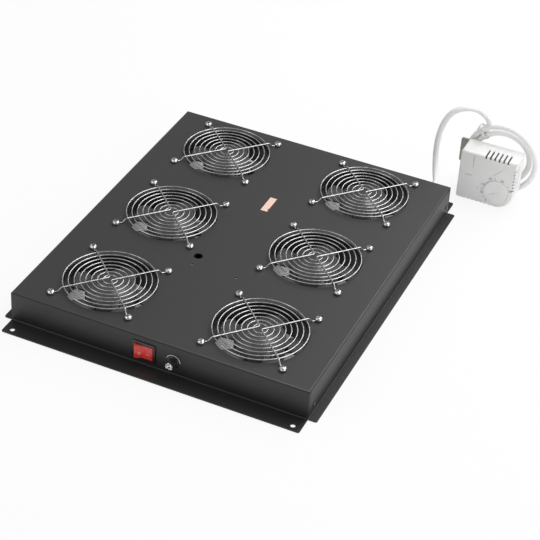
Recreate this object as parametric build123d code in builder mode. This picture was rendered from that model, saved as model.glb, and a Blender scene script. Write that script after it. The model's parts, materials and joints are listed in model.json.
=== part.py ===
"""Rack fan tray: a folded steel pan with six guarded axial fans, a lit rocker switch, a fuse
holder and a plug inlet, wired to a corded room thermostat that stands behind it.

Millimetres, +Z up, front wall towards -Y. The origin is the centre of the four mounting holes,
in the plane of the flanges' underside.
"""

import os
from math import cos, hypot, pi, radians, sin, sqrt

from build123d import *

os.makedirs("parts", exist_ok=True)

# Sheet metal
sheet = 1.5
bend_radius = 0.6
end_flange = 25.0
side_flange = 11.0
flange_corner_radius = 2.5
flange_end_gap = 1.0
rim_radius = 1.3
fan_floor_clearance = 3.5
cut_over = 1.0

# Fans and the room between them
fan_size = 120.0
fan_depth = 38.0
fan_screw_inset = 7.5
fan_rim = 2.5
fan_column_gap = 80.8
fan_row_gap = 44.5
side_margin = 35.6
end_margin = 13.5

# Sizes that follow from the fans
fan_screw_pitch = fan_size - 2 * fan_screw_inset
fan_bore_radius = fan_size / 2 - fan_rim
fan_pitch_x = fan_size + fan_column_gap
fan_pitch_y = fan_size + fan_row_gap
tray_width = 2 * fan_size + fan_column_gap + 2 * side_margin
tray_depth = 3 * fan_size + 2 * fan_row_gap + 2 * end_margin
tray_height = fan_depth + sheet + fan_floor_clearance
half_width = tray_width / 2
half_depth = tray_depth / 2
inner_x = half_width - sheet
inner_y = half_depth - sheet
fan_top = tray_height - sheet
fan_bottom = fan_floor_clearance
fan_columns = (-fan_pitch_x / 2, fan_pitch_x / 2)
fan_rows = (-fan_pitch_y, 0.0, fan_pitch_y)
fan_centres = [(x, y) for y in fan_rows for x in fan_columns]
bay_half = fan_column_gap / 2

# Mounting holes in the front and rear flanges
mount_hole_radius = 3.15
mount_hole_side_inset = 11.0
mount_hole_wall_gap = 17.0
mount_x = half_width - mount_hole_side_inset
mount_y = half_depth + mount_hole_wall_gap

# Open seams and riveted tabs at the corners
corner_strip = 2.6
corner_slot = 1.2
corner_slot_top_gap = 3.6
relief_radius = 1.3
tab_length = 26.0
tab_gap = 0.3
tab_bottom = 4.0
tab_top_gap = 5.0
rivet_radius = 1.65
rivet_clearance = 0.05
rivet_head_radius = 3.0
rivet_head_height = 1.1
rivet_head_edge = 0.9
rivet_tail_radius = 2.3
front_rivet_inset = 17.3
rear_rivet_inset = 8.5
front_rivet_height = 11.0
rear_rivet_height = 14.5

# Holes in the top plate
aperture_margin = 1.0
screw_hole_radius = 2.2
cable_hole_radius = 5.75
cable_hole_place = (-30.8, -64.0)
aperture_radius = fan_bore_radius + aperture_margin
block_y = -fan_pitch_y / 2

# Fan frame
fan_barrel_wall = 2.0
fan_corner_radius = 5.0
fan_flange = 5.0
bellmouth = 1.2
motor_base_radius = 30.0
strut_count = 4
strut_width = 6.0
strut_height = 3.5
strut_start_angle = 45.0
bearing_tube_wall = 2.1
bearing_tube_height = 22.0
bearing_floor = 1.4
bearing_top_gap = 0.5
strut_root = 1.0

# Fan motor
shaft_radius = 1.5
shaft_clearance = 0.03
bearing_radius = 4.0
bearing_width = 4.0
bearing_seat_clearance = 0.03
stator_radius = 22.0
stator_height = 13.0
stator_slot_count = 8
stator_slot_width = 4.5
stator_slot_depth = 9.0
stator_lift = 2.0
stator_collar = 3.0
rotor_radius = 28.8
rotor_wall = 1.4
rotor_skirt_gap = 2.5
hub_clearance = 0.03
hub_wall = 2.2
hub_top_wall = 1.6
hub_top_drop = 4.0

# Impeller blades
blade_count = 5
blade_thickness = 2.0
blade_tip_gap = 1.5
root_chord = 30.0
tip_chord = 47.0
root_pitch = 44.0
tip_pitch = 29.0
root_camber = 3.0
tip_camber = 4.5
blade_height_centre = 22.5
blade_rest_angle = 20.0
blade_tip_radius = fan_bore_radius - blade_tip_gap

# Wire guard
guard_ring_count = 8
guard_overlap = 0.3
guard_inner_radius = 8.8
ring_wire_radius = 0.8
ring_lift = 4.5
arm_wire_radius = 1.1
weld_bite = 0.25
arm_foot_length = 5.45
arm_rise_run = 4.5
arm_bend_radius = 2.2
apex_offset = 0.8
apex_radius = 4.5
eyelet_radius = 3.3
guard_outer_radius = fan_bore_radius + guard_overlap
guard_ring_pitch = (guard_outer_radius - guard_inner_radius) / (guard_ring_count - 1)

# Guard screws and nuts
screw_radius = 1.95
screw_head_radius = 3.9
screw_head_height = 2.7
screw_head_edge = 1.9
nut_width = 7.0
nut_height = 3.2
nut_clearance = 0.05
screw_end = 1.2
shaft_end_gap = 0.3

# Rocker switch
switch_x = -15.8
switch_z = 21.4
bezel_width = 31.5
bezel_height = 25.5
bezel_thickness = 2.0
bezel_corner = 1.8
switch_body_width = 27.6
switch_body_height = 21.4
switch_body_depth = 17.0
panel_clearance = 0.2
rocker_end_radius = 12.5
rocker_half_height = 9.0
rocker_gap = 0.3
rocker_crown = 3.4
rocker_end_rise = 5.4
rocker_skirt = 1.0
rocker_foot = 5.0
rocker_foot_half = 4.0
rocker_tilt = 11.0
rocker_pivot_depth = 1.0
pivot_radius = 1.4
pivot_length = 1.1
pivot_clearance = 0.05
blade_terminal_width = 4.8
blade_terminal_length = 8.0
blade_terminal_thickness = 0.8
terminal_spacing = 8.0

# Fuse holder
fuse_x = 22.8
fuse_z = 20.5
fuse_washer_radius = 9.5
fuse_washer_thickness = 0.8
fuse_flange_radius = 8.0
fuse_flange_thickness = 1.6
fuse_barrel_radius = 6.0
fuse_barrel_depth = 33.0
fuse_bore_radius = 4.4
fuse_cap_radius = 5.2
fuse_cap_length = 9.0
fuse_cap_gap = 0.3
fuse_stem_radius = 4.0
fuse_stem_length = 6.0
fuse_rib_count = 18
fuse_rib_depth = 0.35
fuse_slot_length = 6.8
fuse_slot_width = 1.3
fuse_slot_depth = 1.0
fuse_link_radius = 2.6
fuse_link_length = 20.0
fuse_nut_width = 17.0
fuse_nut_thickness = 3.0

# Plug inlet on the rear wall
inlet_x = 0.0
inlet_z = 20.5
inlet_flange_width = 48.0
inlet_flange_height = 23.0
inlet_flange_thickness = 3.0
inlet_body_width = 27.0
inlet_body_height = 19.4
inlet_body_depth = 16.0
inlet_well_width = 24.2
inlet_well_height = 16.2
inlet_well_depth = 16.0
inlet_well_corner = 4.0
inlet_screw_pitch = 40.0
inlet_screw_radius = 1.45
inlet_screw_head_radius = 2.8
inlet_screw_head_height = 1.8
inlet_nut_width = 5.5
inlet_nut_height = 2.4
pin_pitch = 14.0
pin_drop = 4.0
pin_width = 2.0
pin_height = 4.0
pin_length = 13.0
pin_tail = 7.0

# Cord and its gland in the rear wall
cord_radius = 3.75
gland_side_inset = 28.0
gland_x = half_width - gland_side_inset
gland_z = 21.0
gland_hole_radius = 6.2
gland_thread_radius = 6.0
gland_thread_length = 8.5
gland_hex_width = 15.0
gland_hex_thickness = 4.0
gland_dome_radius = 7.0
gland_dome_length = 8.0
gland_mouth_radius = 5.2
gland_nut_width = 15.0
gland_nut_thickness = 3.5

# Thermostat
therm_left = 191.0
therm_width = 79.0
therm_height = 75.0
therm_front_y = 283.6
therm_cover_depth = 21.4
therm_base_depth = 11.4
therm_wall = 2.0
therm_corner = 4.0
therm_front_edge = 2.5
dial_radius = 17.0
dial_side_gap = 7.0
dial_gap = 0.4
dial_proud = 1.8
dial_thickness = 6.0
dial_groove_width = 2.2
dial_groove_depth = 0.8
dial_groove_length = 12.6
dial_groove_reach = 7.3
dial_groove_angle = 212.0
spindle_radius = 3.0
spindle_clearance = 0.05
slot_width = 2.6
top_slot_count = 6
top_slot_pitch = 6.2
top_slot_first_x = 226.0
side_slot_count = 7
side_slot_pitch = 5.1
side_slot_first_z = 32.0
bottom_slot_count = 6
bottom_slot_pitch = 6.0
bottom_slot_first_x = 206.0
slot_reach = 17.0
top_slot_wrap = 5.0
side_slot_wrap = 3.0
bottom_slot_wrap = 2.2
switch_block_width = 28.0
switch_block_height = 22.0
switch_block_depth = 7.0
strip_length = 34.0
strip_width = 8.0
strip_thickness = 0.8
strip_foot = 4.0

# Steel plate behind the thermostat
plate_left = 180.0
plate_right = 262.0
plate_foot = 36.0
plate_top = 73.0
plate_thickness = 2.0
plate_corner = 3.0
plate_screw_radius = 1.75
plate_screw_head_radius = 3.2
plate_screw_head_height = 1.4
plate_screw_spacing = 26.0
plate_screw_z = 62.0
plate_screw_bite = 3.8
plate_boss_height = 5.7
plate_boss_radius = 3.5
lead_hole_radius = 4.0

# Upright coil of cord behind the plate
coil_x = 237.0
coil_inner_radius = 34.0
coil_outer_radius = 52.6
coil_floor_gap = 0.2
coil_gap = 0.3
coil_thickness = 11.0
coil_edge = 3.4
tie_angle = 128.0
tie_thickness = 1.2
tie_width = 4.5
tie_clearance = 0.1

# Wiring under the top plate
wire_radius = 1.5
feed_radius = 2.5
wire_high_gap = 6.0
wire_low = 22.0
wire_bend = 6.0
wire_straight = 8.0
wire_rise_run = 20.0
block_pole_pitch = 4.5
block_pole_count = 12
block_depth = 16.0
block_height = 14.0
block_ear = 6.5
block_ear_thickness = 3.5
block_pocket_depth = 3.5
block_half = block_pole_count * block_pole_pitch / 2
block_screw_x = block_half + block_ear / 2
block_screw_radius = 1.4
block_screw_head_radius = 2.7
block_screw_head_height = 1.8
clip_size = 9.0
clip_wall = 1.6
clip_clearance = 0.05
gland_clip_run = 29.75
front_lane_poles = 2.5
rear_lane_poles = 3.5
feed_lane_poles = 5.5


def face_at(y):
    """Plane facing the front, with X across and Z up."""
    return Plane(origin=(0, y, 0), x_dir=(1, 0, 0), z_dir=(0, -1, 0))


def write(piece, name):
    """Label a finished piece and write its file."""
    piece.part.label = name
    export_step(piece.part, f"parts/{name}.step")


def corner_radii(points):
    """Largest arcs that a cord's route allows, one for each of its corners."""
    route = [Vector(*point) for point in points]
    radii = []
    for before, corner, after in zip(route, route[1:], route[2:]):
        arriving = corner - before
        leaving = after - corner
        turn = arriving.get_angle(leaving)
        half_turn = radians(turn / 2)
        shorter = min(arriving.length, leaving.length)
        radii.append(0.45 * shorter * cos(half_turn) / sin(half_turn))
    return radii


# Tray housing, one folded sheet with its corners open
housing_bend = bend_radius + sheet
slot_low = half_depth - corner_strip - corner_slot
slot_top = tray_height - corner_slot_top_gap
front_rivet_y = -half_depth + front_rivet_inset
rear_rivet_y = half_depth - rear_rivet_inset
rivet_places = [
    (side * half_width, y, z)
    for side in (-1, 1)
    for y, z in ((front_rivet_y, front_rivet_height), (rear_rivet_y, rear_rivet_height))
]
screw_places = [
    (x + dx * fan_screw_pitch / 2, y + dy * fan_screw_pitch / 2)
    for x, y in fan_centres
    for dx in (-1, 1)
    for dy in (-1, 1)
]

with BuildPart() as tray_housing:
    with BuildSketch(Plane.XY):
        Rectangle(tray_width, tray_depth)
    extrude(amount=tray_height)
    fillet(tray_housing.faces().sort_by(Axis.Z)[-1].edges(), radius=housing_bend)
    offset(amount=-sheet, openings=tray_housing.faces().sort_by(Axis.Z)[0])
    with BuildSketch(Plane.XY):
        with GridLocations(0, tray_depth + end_flange, 1, 2):
            Rectangle(tray_width, end_flange)
        fillet(vertices().group_by(Axis.Y)[0], radius=flange_corner_radius)
        fillet(vertices().group_by(Axis.Y)[-1], radius=flange_corner_radius)
    extrude(amount=sheet)
    with BuildSketch(Plane.XY):
        with GridLocations(tray_width + side_flange, 0, 2, 1):
            Rectangle(side_flange, tray_depth - 2 * flange_end_gap)
        fillet(vertices().group_by(Axis.X)[0], radius=flange_corner_radius)
        fillet(vertices().group_by(Axis.X)[-1], radius=flange_corner_radius)
    extrude(amount=sheet)
    # Rounded foot of each wall, inside and out
    foot_edges = (
        edges()
        .filter_by_position(Axis.Z, sheet - 0.01, sheet + 0.01)
        .filter_by(
            lambda edge: abs(abs(edge.center().X) - half_width) < 0.01
            or abs(abs(edge.center().Y) - half_depth) < 0.01
        )
        .filter_by(lambda edge: edge.length > tray_width / 2)
    )
    fillet(foot_edges.filter_by(Axis.X), radius=bend_radius)
    fillet(foot_edges.filter_by(Axis.Y), radius=bend_radius)
    rim_edges = (
        edges()
        .filter_by_position(Axis.Z, -0.01, 0.01)
        .filter_by(
            lambda edge: abs(abs(edge.center().X) - inner_x) < 0.01
            or abs(abs(edge.center().Y) - inner_y) < 0.01
        )
    )
    fillet(rim_edges, radius=min(rim_radius, 0.9 * sheet))
    # Tabs folded in from the end walls, behind the side walls
    tab_height = tray_height - tab_top_gap - tab_bottom
    with BuildSketch(Plane.XY.offset(tab_bottom)):
        with GridLocations(2 * (inner_x - tab_gap) - sheet, 2 * inner_y - tab_length, 2, 2):
            Rectangle(sheet, tab_length)
    extrude(amount=tab_height)
    # Open seam beside each end wall, with a relief hole at its top
    slot_centre = slot_low + corner_slot / 2
    with BuildSketch(Plane.XY.offset(-sheet)):
        with GridLocations(2 * half_width - sheet, 2 * slot_centre, 2, 2):
            Rectangle(sheet + tab_gap, corner_slot)
        with GridLocations(2 * half_width + tab_gap, 2 * half_depth - corner_strip, 2, 2):
            Rectangle(tab_gap, corner_strip + 2 * tab_gap)
    extrude(amount=slot_top + sheet, mode=Mode.SUBTRACT)
    with BuildSketch(Plane.YZ.offset(-half_width - sheet)):
        with Locations((-slot_centre, slot_top), (slot_centre, slot_top)):
            Circle(relief_radius)
    extrude(amount=2 * sheet + tab_gap / 2, mode=Mode.SUBTRACT)
    with BuildSketch(Plane.YZ.offset(inner_x - tab_gap / 2)):
        with Locations((-slot_centre, slot_top), (slot_centre, slot_top)):
            Circle(relief_radius)
    extrude(amount=2 * sheet + tab_gap / 2, mode=Mode.SUBTRACT)
    # Rivet holes through side walls and tabs
    with BuildSketch(Plane.YZ.offset(-half_width - sheet)):
        with Locations(
            (front_rivet_y, front_rivet_height),
            (rear_rivet_y, rear_rivet_height),
        ):
            Circle(rivet_radius + rivet_clearance)
    extrude(amount=tray_width + 2 * sheet, mode=Mode.SUBTRACT)
    # Fan apertures, guard screw holes, cable hole and terminal block holes
    with BuildSketch(Plane.XY.offset(fan_top - sheet)):
        with Locations(*fan_centres):
            Circle(aperture_radius)
        with Locations(*screw_places):
            Circle(screw_hole_radius)
        with Locations(cable_hole_place):
            Circle(cable_hole_radius)
        with Locations((-block_screw_x, block_y), (block_screw_x, block_y)):
            Circle(block_screw_radius + rivet_clearance)
    extrude(amount=3 * sheet, mode=Mode.SUBTRACT)
    # Mounting holes in the end flanges
    with BuildSketch(Plane.XY.offset(-sheet)):
        with GridLocations(2 * mount_x, 2 * mount_y, 2, 2):
            Circle(mount_hole_radius)
    extrude(amount=3 * sheet, mode=Mode.SUBTRACT)
    # Switch and fuse cut-outs in the front wall
    with BuildSketch(face_at(-inner_y + sheet)):
        with Locations((switch_x, switch_z)):
            Rectangle(
                switch_body_width + 2 * panel_clearance,
                switch_body_height + 2 * panel_clearance,
            )
        with Locations((fuse_x, fuse_z)):
            Circle(fuse_barrel_radius + panel_clearance)
    extrude(amount=3 * sheet, mode=Mode.SUBTRACT)
    # Inlet and gland cut-outs in the rear wall
    with BuildSketch(face_at(half_depth + sheet)):
        with Locations((inlet_x, inlet_z)):
            Rectangle(
                inlet_body_width + 2 * panel_clearance,
                inlet_body_height + 2 * panel_clearance,
            )
            with GridLocations(inlet_screw_pitch, 0, 2, 1):
                Circle(inlet_screw_radius + panel_clearance)
        with Locations((gland_x, gland_z)):
            Circle(gland_hole_radius)
    extrude(amount=3 * sheet, mode=Mode.SUBTRACT)
write(tray_housing, "tray_housing")

# Blind rivets at the corners
rivet_grip = 2 * sheet + tab_gap
with BuildPart() as rivet:
    with BuildSketch(Plane.XY):
        Circle(rivet_head_radius)
    extrude(amount=rivet_head_height)
    fillet(faces().sort_by(Axis.Z)[-1].edges(), radius=rivet_head_edge)
    with BuildSketch(Plane.XY):
        Circle(rivet_radius)
    extrude(amount=-rivet_grip)
    with BuildSketch(Plane.XY.offset(-rivet_grip)):
        Circle(rivet_tail_radius)
    extrude(amount=-rivet_head_height)
with BuildPart() as corner_rivets:
    for x, y, z in rivet_places:
        outward = 1 if x > 0 else -1
        with Locations(Plane(origin=(x, y, z), z_dir=(outward, 0, 0))):
            add(rivet.part)
write(corner_rivets, "corner_rivets")

# Fan frame, made once and hung at each aperture
fan_screw_corners = [
    (dx * fan_screw_pitch / 2, dy * fan_screw_pitch / 2) for dx in (-1, 1) for dy in (-1, 1)
]
bearing_bore = bearing_radius + bearing_seat_clearance
tube_radius = bearing_bore + bearing_tube_wall
tube_top = fan_bottom + bearing_tube_height
strut_length = fan_bore_radius + strut_root
with BuildPart() as fan_frame:
    with BuildSketch(Plane.XY.offset(fan_bottom), Plane.XY.offset(fan_top - fan_flange)):
        RectangleRounded(fan_size, fan_size, fan_corner_radius)
    extrude(amount=fan_flange)
    with BuildSketch(Plane.XY.offset(fan_bottom)):
        Circle(fan_bore_radius + fan_barrel_wall)
    extrude(amount=fan_depth)
    with BuildSketch(Plane.XY.offset(fan_bottom)):
        Circle(fan_bore_radius)
    extrude(amount=fan_depth, mode=Mode.SUBTRACT)
    mouth_edges = (
        edges()
        .filter_by(GeomType.CIRCLE)
        .filter_by(lambda edge: abs(edge.radius - fan_bore_radius) < 0.01)
    )
    chamfer(mouth_edges, length=bellmouth)
    with BuildSketch(Plane.XY.offset(fan_bottom)):
        with Locations(*fan_screw_corners):
            Circle(screw_hole_radius)
    extrude(amount=fan_depth, mode=Mode.SUBTRACT)
    with BuildSketch(Plane.XY.offset(fan_bottom)):
        Circle(motor_base_radius)
        with PolarLocations(strut_length / 2, strut_count, start_angle=strut_start_angle):
            Rectangle(strut_length, strut_width)
    extrude(amount=strut_height)
    with BuildSketch(Plane.XY.offset(fan_bottom)):
        Circle(tube_radius)
    extrude(amount=bearing_tube_height)
    with BuildSketch(Plane.XY.offset(fan_bottom + bearing_floor)):
        Circle(bearing_bore)
    extrude(amount=bearing_tube_height, mode=Mode.SUBTRACT)

# Ball bearings, two in each bearing tube
with BuildPart() as bearing:
    with BuildSketch(Plane.XY):
        Circle(bearing_radius)
        Circle(shaft_radius + shaft_clearance, mode=Mode.SUBTRACT)
    extrude(amount=bearing_width)
bearing_heights = (fan_bottom + bearing_floor, tube_top - bearing_width - bearing_top_gap)
with BuildPart() as fan_bearings:
    with Locations(*[(x, y, z) for x, y in fan_centres for z in bearing_heights]):
        add(bearing.part)
write(fan_bearings, "fan_bearings")

# Stator stacks round the bearing tubes
stator_bottom = fan_bottom + strut_height + stator_lift
with BuildPart() as stator:
    with BuildSketch(Plane.XY.offset(fan_bottom + strut_height)):
        Circle(tube_radius + stator_collar)
        Circle(tube_radius + hub_clearance, mode=Mode.SUBTRACT)
    extrude(amount=stator_lift)
    with BuildSketch(Plane.XY.offset(stator_bottom)):
        Circle(stator_radius)
        Circle(tube_radius + hub_clearance, mode=Mode.SUBTRACT)
        with PolarLocations(stator_radius + (cut_over - stator_slot_depth) / 2, stator_slot_count):
            Rectangle(stator_slot_depth + cut_over, stator_slot_width, mode=Mode.SUBTRACT)
    extrude(amount=stator_height)
with BuildPart() as fan_stators:
    with Locations(*[(x, y, 0) for x, y in fan_centres]):
        add(stator.part)
write(fan_stators, "fan_stators")

# Rotor, a steel cup with its shaft
hub_top = fan_top - hub_top_drop
cup_top = hub_top - hub_top_wall
skirt_bottom = fan_bottom + strut_height + rotor_skirt_gap
with BuildPart() as rotor:
    with BuildSketch(Plane.XY.offset(skirt_bottom)):
        Circle(rotor_radius)
    extrude(amount=cup_top - skirt_bottom)
    with BuildSketch(Plane.XY.offset(skirt_bottom)):
        Circle(rotor_radius - rotor_wall)
    extrude(amount=cup_top - rotor_wall - skirt_bottom, mode=Mode.SUBTRACT)
    with BuildSketch(Plane.XY.offset(fan_bottom + bearing_floor + shaft_end_gap)):
        Circle(shaft_radius)
    extrude(amount=cup_top - fan_bottom - bearing_floor - shaft_end_gap)

# One blade of the impeller, lofted from its root to its tip
hub_radius = rotor_radius + hub_clearance + hub_wall
blade_sections = (
    (rotor_radius, root_chord, root_pitch, root_camber),
    (blade_tip_radius + blade_thickness, tip_chord, tip_pitch, tip_camber),
)
with BuildPart() as blade:
    for radius, chord, pitch, camber in blade_sections:
        across = Plane(origin=(radius, 0, blade_height_centre), x_dir=(0, 1, 0), z_dir=(1, 0, 0))
        with BuildSketch(across.rotated((0, 0, pitch))):
            with BuildLine():
                upper = ThreePointArc(
                    (-chord / 2, blade_thickness / 2),
                    (0, camber + blade_thickness / 2),
                    (chord / 2, blade_thickness / 2),
                )
                lower = ThreePointArc(
                    (-chord / 2, -blade_thickness / 2),
                    (0, camber - blade_thickness / 2),
                    (chord / 2, -blade_thickness / 2),
                )
                Line(upper @ 0, lower @ 0)
                Line(upper @ 1, lower @ 1)
            make_face()
    loft()
    with BuildSketch(Plane.XY):
        Circle(blade_tip_radius)
        Circle(hub_radius - hub_wall / 2, mode=Mode.SUBTRACT)
    extrude(amount=tray_height, mode=Mode.INTERSECT)

# Impeller, a moulded hub pressed over the rotor, with its blades
with BuildPart() as impeller:
    with BuildSketch(Plane.XY.offset(skirt_bottom)):
        Circle(hub_radius)
    extrude(amount=hub_top - skirt_bottom)
    with BuildSketch(Plane.XY.offset(skirt_bottom)):
        Circle(rotor_radius + hub_clearance)
    extrude(amount=cup_top - skirt_bottom, mode=Mode.SUBTRACT)
    with PolarLocations(0, blade_count, start_angle=blade_rest_angle):
        add(blade.part)

# Wire guard, welded rings carried by two bent wires
ring_z = tray_height + ring_lift
arm_z = ring_z + ring_wire_radius + arm_wire_radius - weld_bite
foot_z = tray_height + arm_wire_radius
screw_reach = hypot(fan_screw_pitch / 2, fan_screw_pitch / 2)
diagonal = sqrt(0.5)
eyelet_edge = screw_reach - eyelet_radius
arm_foot_radius = eyelet_edge - arm_foot_length
arm_knee_radius = arm_foot_radius - arm_rise_run
arm_profile = (
    (eyelet_edge, foot_z),
    (arm_foot_radius, foot_z),
    (arm_knee_radius, arm_z),
)
rear_arm = [(reach * diagonal, reach * diagonal, z) for reach, z in arm_profile]
front_arm = [(x, -y, z) for x, y, z in reversed(rear_arm)]
arm_route = [*rear_arm, (apex_offset, 0, arm_z), *front_arm]
arm_bends = [arm_bend_radius] * 2 + [apex_radius] + [arm_bend_radius] * 2
with BuildPart() as fan_guard:
    with BuildLine() as arm_line:
        FilletPolyline(*arm_route, radius=arm_bends)
    with BuildSketch(Plane(origin=arm_line.line @ 0, z_dir=arm_line.line % 0)):
        Circle(arm_wire_radius)
    sweep(path=arm_line.line)
    with Locations(*[(x, y, foot_z) for x, y in fan_screw_corners if x > 0]):
        Torus(eyelet_radius, arm_wire_radius)
    mirror(about=Plane.YZ)
    with Locations((0, 0, ring_z)):
        for ring in range(guard_ring_count):
            Torus(guard_outer_radius - ring * guard_ring_pitch, ring_wire_radius)

# The six fans, numbered from the front left, then the front right
for number, (x, y) in enumerate(fan_centres, start=1):
    fan_pieces = (
        (fan_frame, "fan_frame"),
        (rotor, "fan_rotor"),
        (impeller, "impeller"),
        (fan_guard, "fan_guard"),
    )
    for piece, name in fan_pieces:
        with BuildPart() as placed:
            with Locations((x, y, 0)):
                add(piece.part)
        write(placed, f"{name}_{number}")

# Guard screws and their nuts
screw_seat = foot_z + arm_wire_radius
nut_top = fan_top - fan_flange
with BuildPart() as screw:
    with BuildSketch(Plane.XY.offset(screw_seat)):
        Circle(screw_head_radius)
    extrude(amount=screw_head_height)
    fillet(faces().sort_by(Axis.Z)[-1].edges(), radius=screw_head_edge)
    with BuildSketch(Plane.XY.offset(nut_top - nut_height - screw_end)):
        Circle(screw_radius)
    extrude(amount=screw_seat - nut_top + nut_height + screw_end)
with BuildPart() as guard_screws:
    with Locations(*[(x, y, 0) for x, y in screw_places]):
        add(screw.part)
write(guard_screws, "guard_screws")

with BuildPart() as guard_nuts:
    with BuildSketch(Plane.XY.offset(nut_top - nut_height)):
        with Locations(*screw_places):
            RegularPolygon(nut_width / 2, 6, major_radius=False)
            Circle(screw_radius + nut_clearance, mode=Mode.SUBTRACT)
    extrude(amount=nut_height)
write(guard_nuts, "guard_nuts")

# Rocker switch in the front wall
front_face = -half_depth
pivot_y = front_face + rocker_pivot_depth
pocket_floor = pivot_y + rocker_foot + rocker_skirt + rocker_gap
switch_rear = front_face + switch_body_depth
with BuildPart() as switch_body:
    with BuildSketch(face_at(front_face)):
        with Locations((switch_x, switch_z)):
            RectangleRounded(bezel_width, bezel_height, bezel_corner)
    extrude(amount=bezel_thickness)
    chamfer(faces().sort_by(Axis.Y)[0].edges(), length=bezel_thickness / 3)
    with BuildSketch(face_at(front_face)):
        with Locations((switch_x, switch_z)):
            Rectangle(switch_body_width, switch_body_height)
    extrude(amount=-switch_body_depth)
    with BuildSketch(face_at(pocket_floor)):
        with Locations((switch_x, switch_z)):
            Rectangle(
                2 * (rocker_end_radius + rocker_gap),
                2 * (rocker_half_height + rocker_gap),
            )
    extrude(amount=pocket_floor - front_face + 2 * bezel_thickness, mode=Mode.SUBTRACT)
    pivot_reach = rocker_half_height + pivot_length + rocker_gap
    with BuildSketch(Plane.XY.offset(switch_z - pivot_reach)):
        with Locations((switch_x, pivot_y)):
            Circle(pivot_radius + pivot_clearance)
    extrude(amount=2 * pivot_reach, mode=Mode.SUBTRACT)
write(switch_body, "switch_body")

# Rocker at rest with its right end pressed in
skirt_x = sqrt(rocker_end_radius**2 - rocker_skirt**2)
crown_x = sqrt(rocker_end_radius**2 - rocker_end_rise**2)
tilt = radians(rocker_tilt)
rocker_plane = Plane(
    origin=(switch_x, pivot_y, switch_z + rocker_half_height),
    x_dir=(cos(tilt), sin(tilt), 0),
    z_dir=(0, 0, -1),
)
with BuildPart() as switch_rocker:
    with BuildSketch(rocker_plane):
        with BuildLine():
            RadiusArc((skirt_x, -rocker_skirt), (crown_x, rocker_end_rise), -rocker_end_radius)
            Polyline(
                (crown_x, rocker_end_rise),
                (0, rocker_crown),
                (-crown_x, rocker_end_rise),
            )
            RadiusArc((-crown_x, rocker_end_rise), (-skirt_x, -rocker_skirt), -rocker_end_radius)
            Polyline(
                (-skirt_x, -rocker_skirt),
                (-rocker_foot_half, -rocker_foot),
                (rocker_foot_half, -rocker_foot),
                (skirt_x, -rocker_skirt),
            )
        make_face()
    extrude(amount=2 * rocker_half_height)
    pin_reach = rocker_half_height + pivot_length
    with BuildSketch(Plane.XY.offset(switch_z - pin_reach)):
        with Locations((switch_x, pivot_y)):
            Circle(pivot_radius)
    extrude(amount=2 * pin_reach)
write(switch_rocker, "switch_rocker")

# Fuse holder beside the switch, with its washer and nut
washer_face = front_face - fuse_washer_thickness
fuse_face = washer_face - fuse_flange_thickness
fuse_rear = front_face + fuse_barrel_depth
with BuildPart() as fuse_washer:
    with BuildSketch(face_at(front_face)):
        with Locations((fuse_x, fuse_z)):
            Circle(fuse_washer_radius)
            Circle(fuse_barrel_radius + panel_clearance, mode=Mode.SUBTRACT)
    extrude(amount=fuse_washer_thickness)
write(fuse_washer, "fuse_washer")

stem_bottom = fuse_face - fuse_cap_gap + fuse_stem_length
fuse_bore_depth = stem_bottom - fuse_face + fuse_link_length + fuse_stem_length / 2
with BuildPart() as fuse_holder:
    with BuildSketch(face_at(washer_face)):
        with Locations((fuse_x, fuse_z)):
            Circle(fuse_flange_radius)
    extrude(amount=fuse_flange_thickness)
    chamfer(faces().sort_by(Axis.Y)[0].edges(), length=fuse_flange_thickness / 3)
    with BuildSketch(face_at(washer_face)):
        with Locations((fuse_x, fuse_z)):
            Circle(fuse_barrel_radius)
    extrude(amount=washer_face - fuse_rear)
    with BuildSketch(face_at(fuse_face + fuse_bore_depth)):
        with Locations((fuse_x, fuse_z)):
            Circle(fuse_bore_radius)
    extrude(amount=fuse_bore_depth + fuse_flange_thickness, mode=Mode.SUBTRACT)
write(fuse_holder, "fuse_holder")

with BuildPart() as fuse_nut:
    with BuildSketch(face_at(-inner_y + fuse_nut_thickness)):
        with Locations((fuse_x, fuse_z)):
            RegularPolygon(fuse_nut_width / 2, 6, major_radius=False)
            Circle(fuse_barrel_radius + nut_clearance, mode=Mode.SUBTRACT)
    extrude(amount=fuse_nut_thickness)
write(fuse_nut, "fuse_nut")

# Ribbed bayonet cap with its stem
with BuildPart() as fuse_cap:
    with BuildSketch(face_at(fuse_face - fuse_cap_gap)):
        with Locations((fuse_x, fuse_z)):
            Circle(fuse_cap_radius)
            with PolarLocations(fuse_cap_radius, fuse_rib_count):
                Circle(fuse_rib_depth, mode=Mode.SUBTRACT)
    extrude(amount=fuse_cap_length)
    with BuildSketch(face_at(fuse_face - fuse_cap_gap)):
        with Locations((fuse_x, fuse_z)):
            Circle(fuse_stem_radius)
    extrude(amount=-fuse_stem_length)
    with BuildSketch(face_at(fuse_face - fuse_cap_gap - fuse_cap_length)):
        with Locations((fuse_x, fuse_z)):
            Rectangle(fuse_slot_length, fuse_slot_width)
    extrude(amount=-fuse_slot_depth, mode=Mode.SUBTRACT)
write(fuse_cap, "fuse_cap")

with BuildPart() as fuse_link:
    with BuildSketch(face_at(stem_bottom + fuse_link_length)):
        with Locations((fuse_x, fuse_z)):
            Circle(fuse_link_radius)
    extrude(amount=fuse_link_length)
write(fuse_link, "fuse_link")

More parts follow.
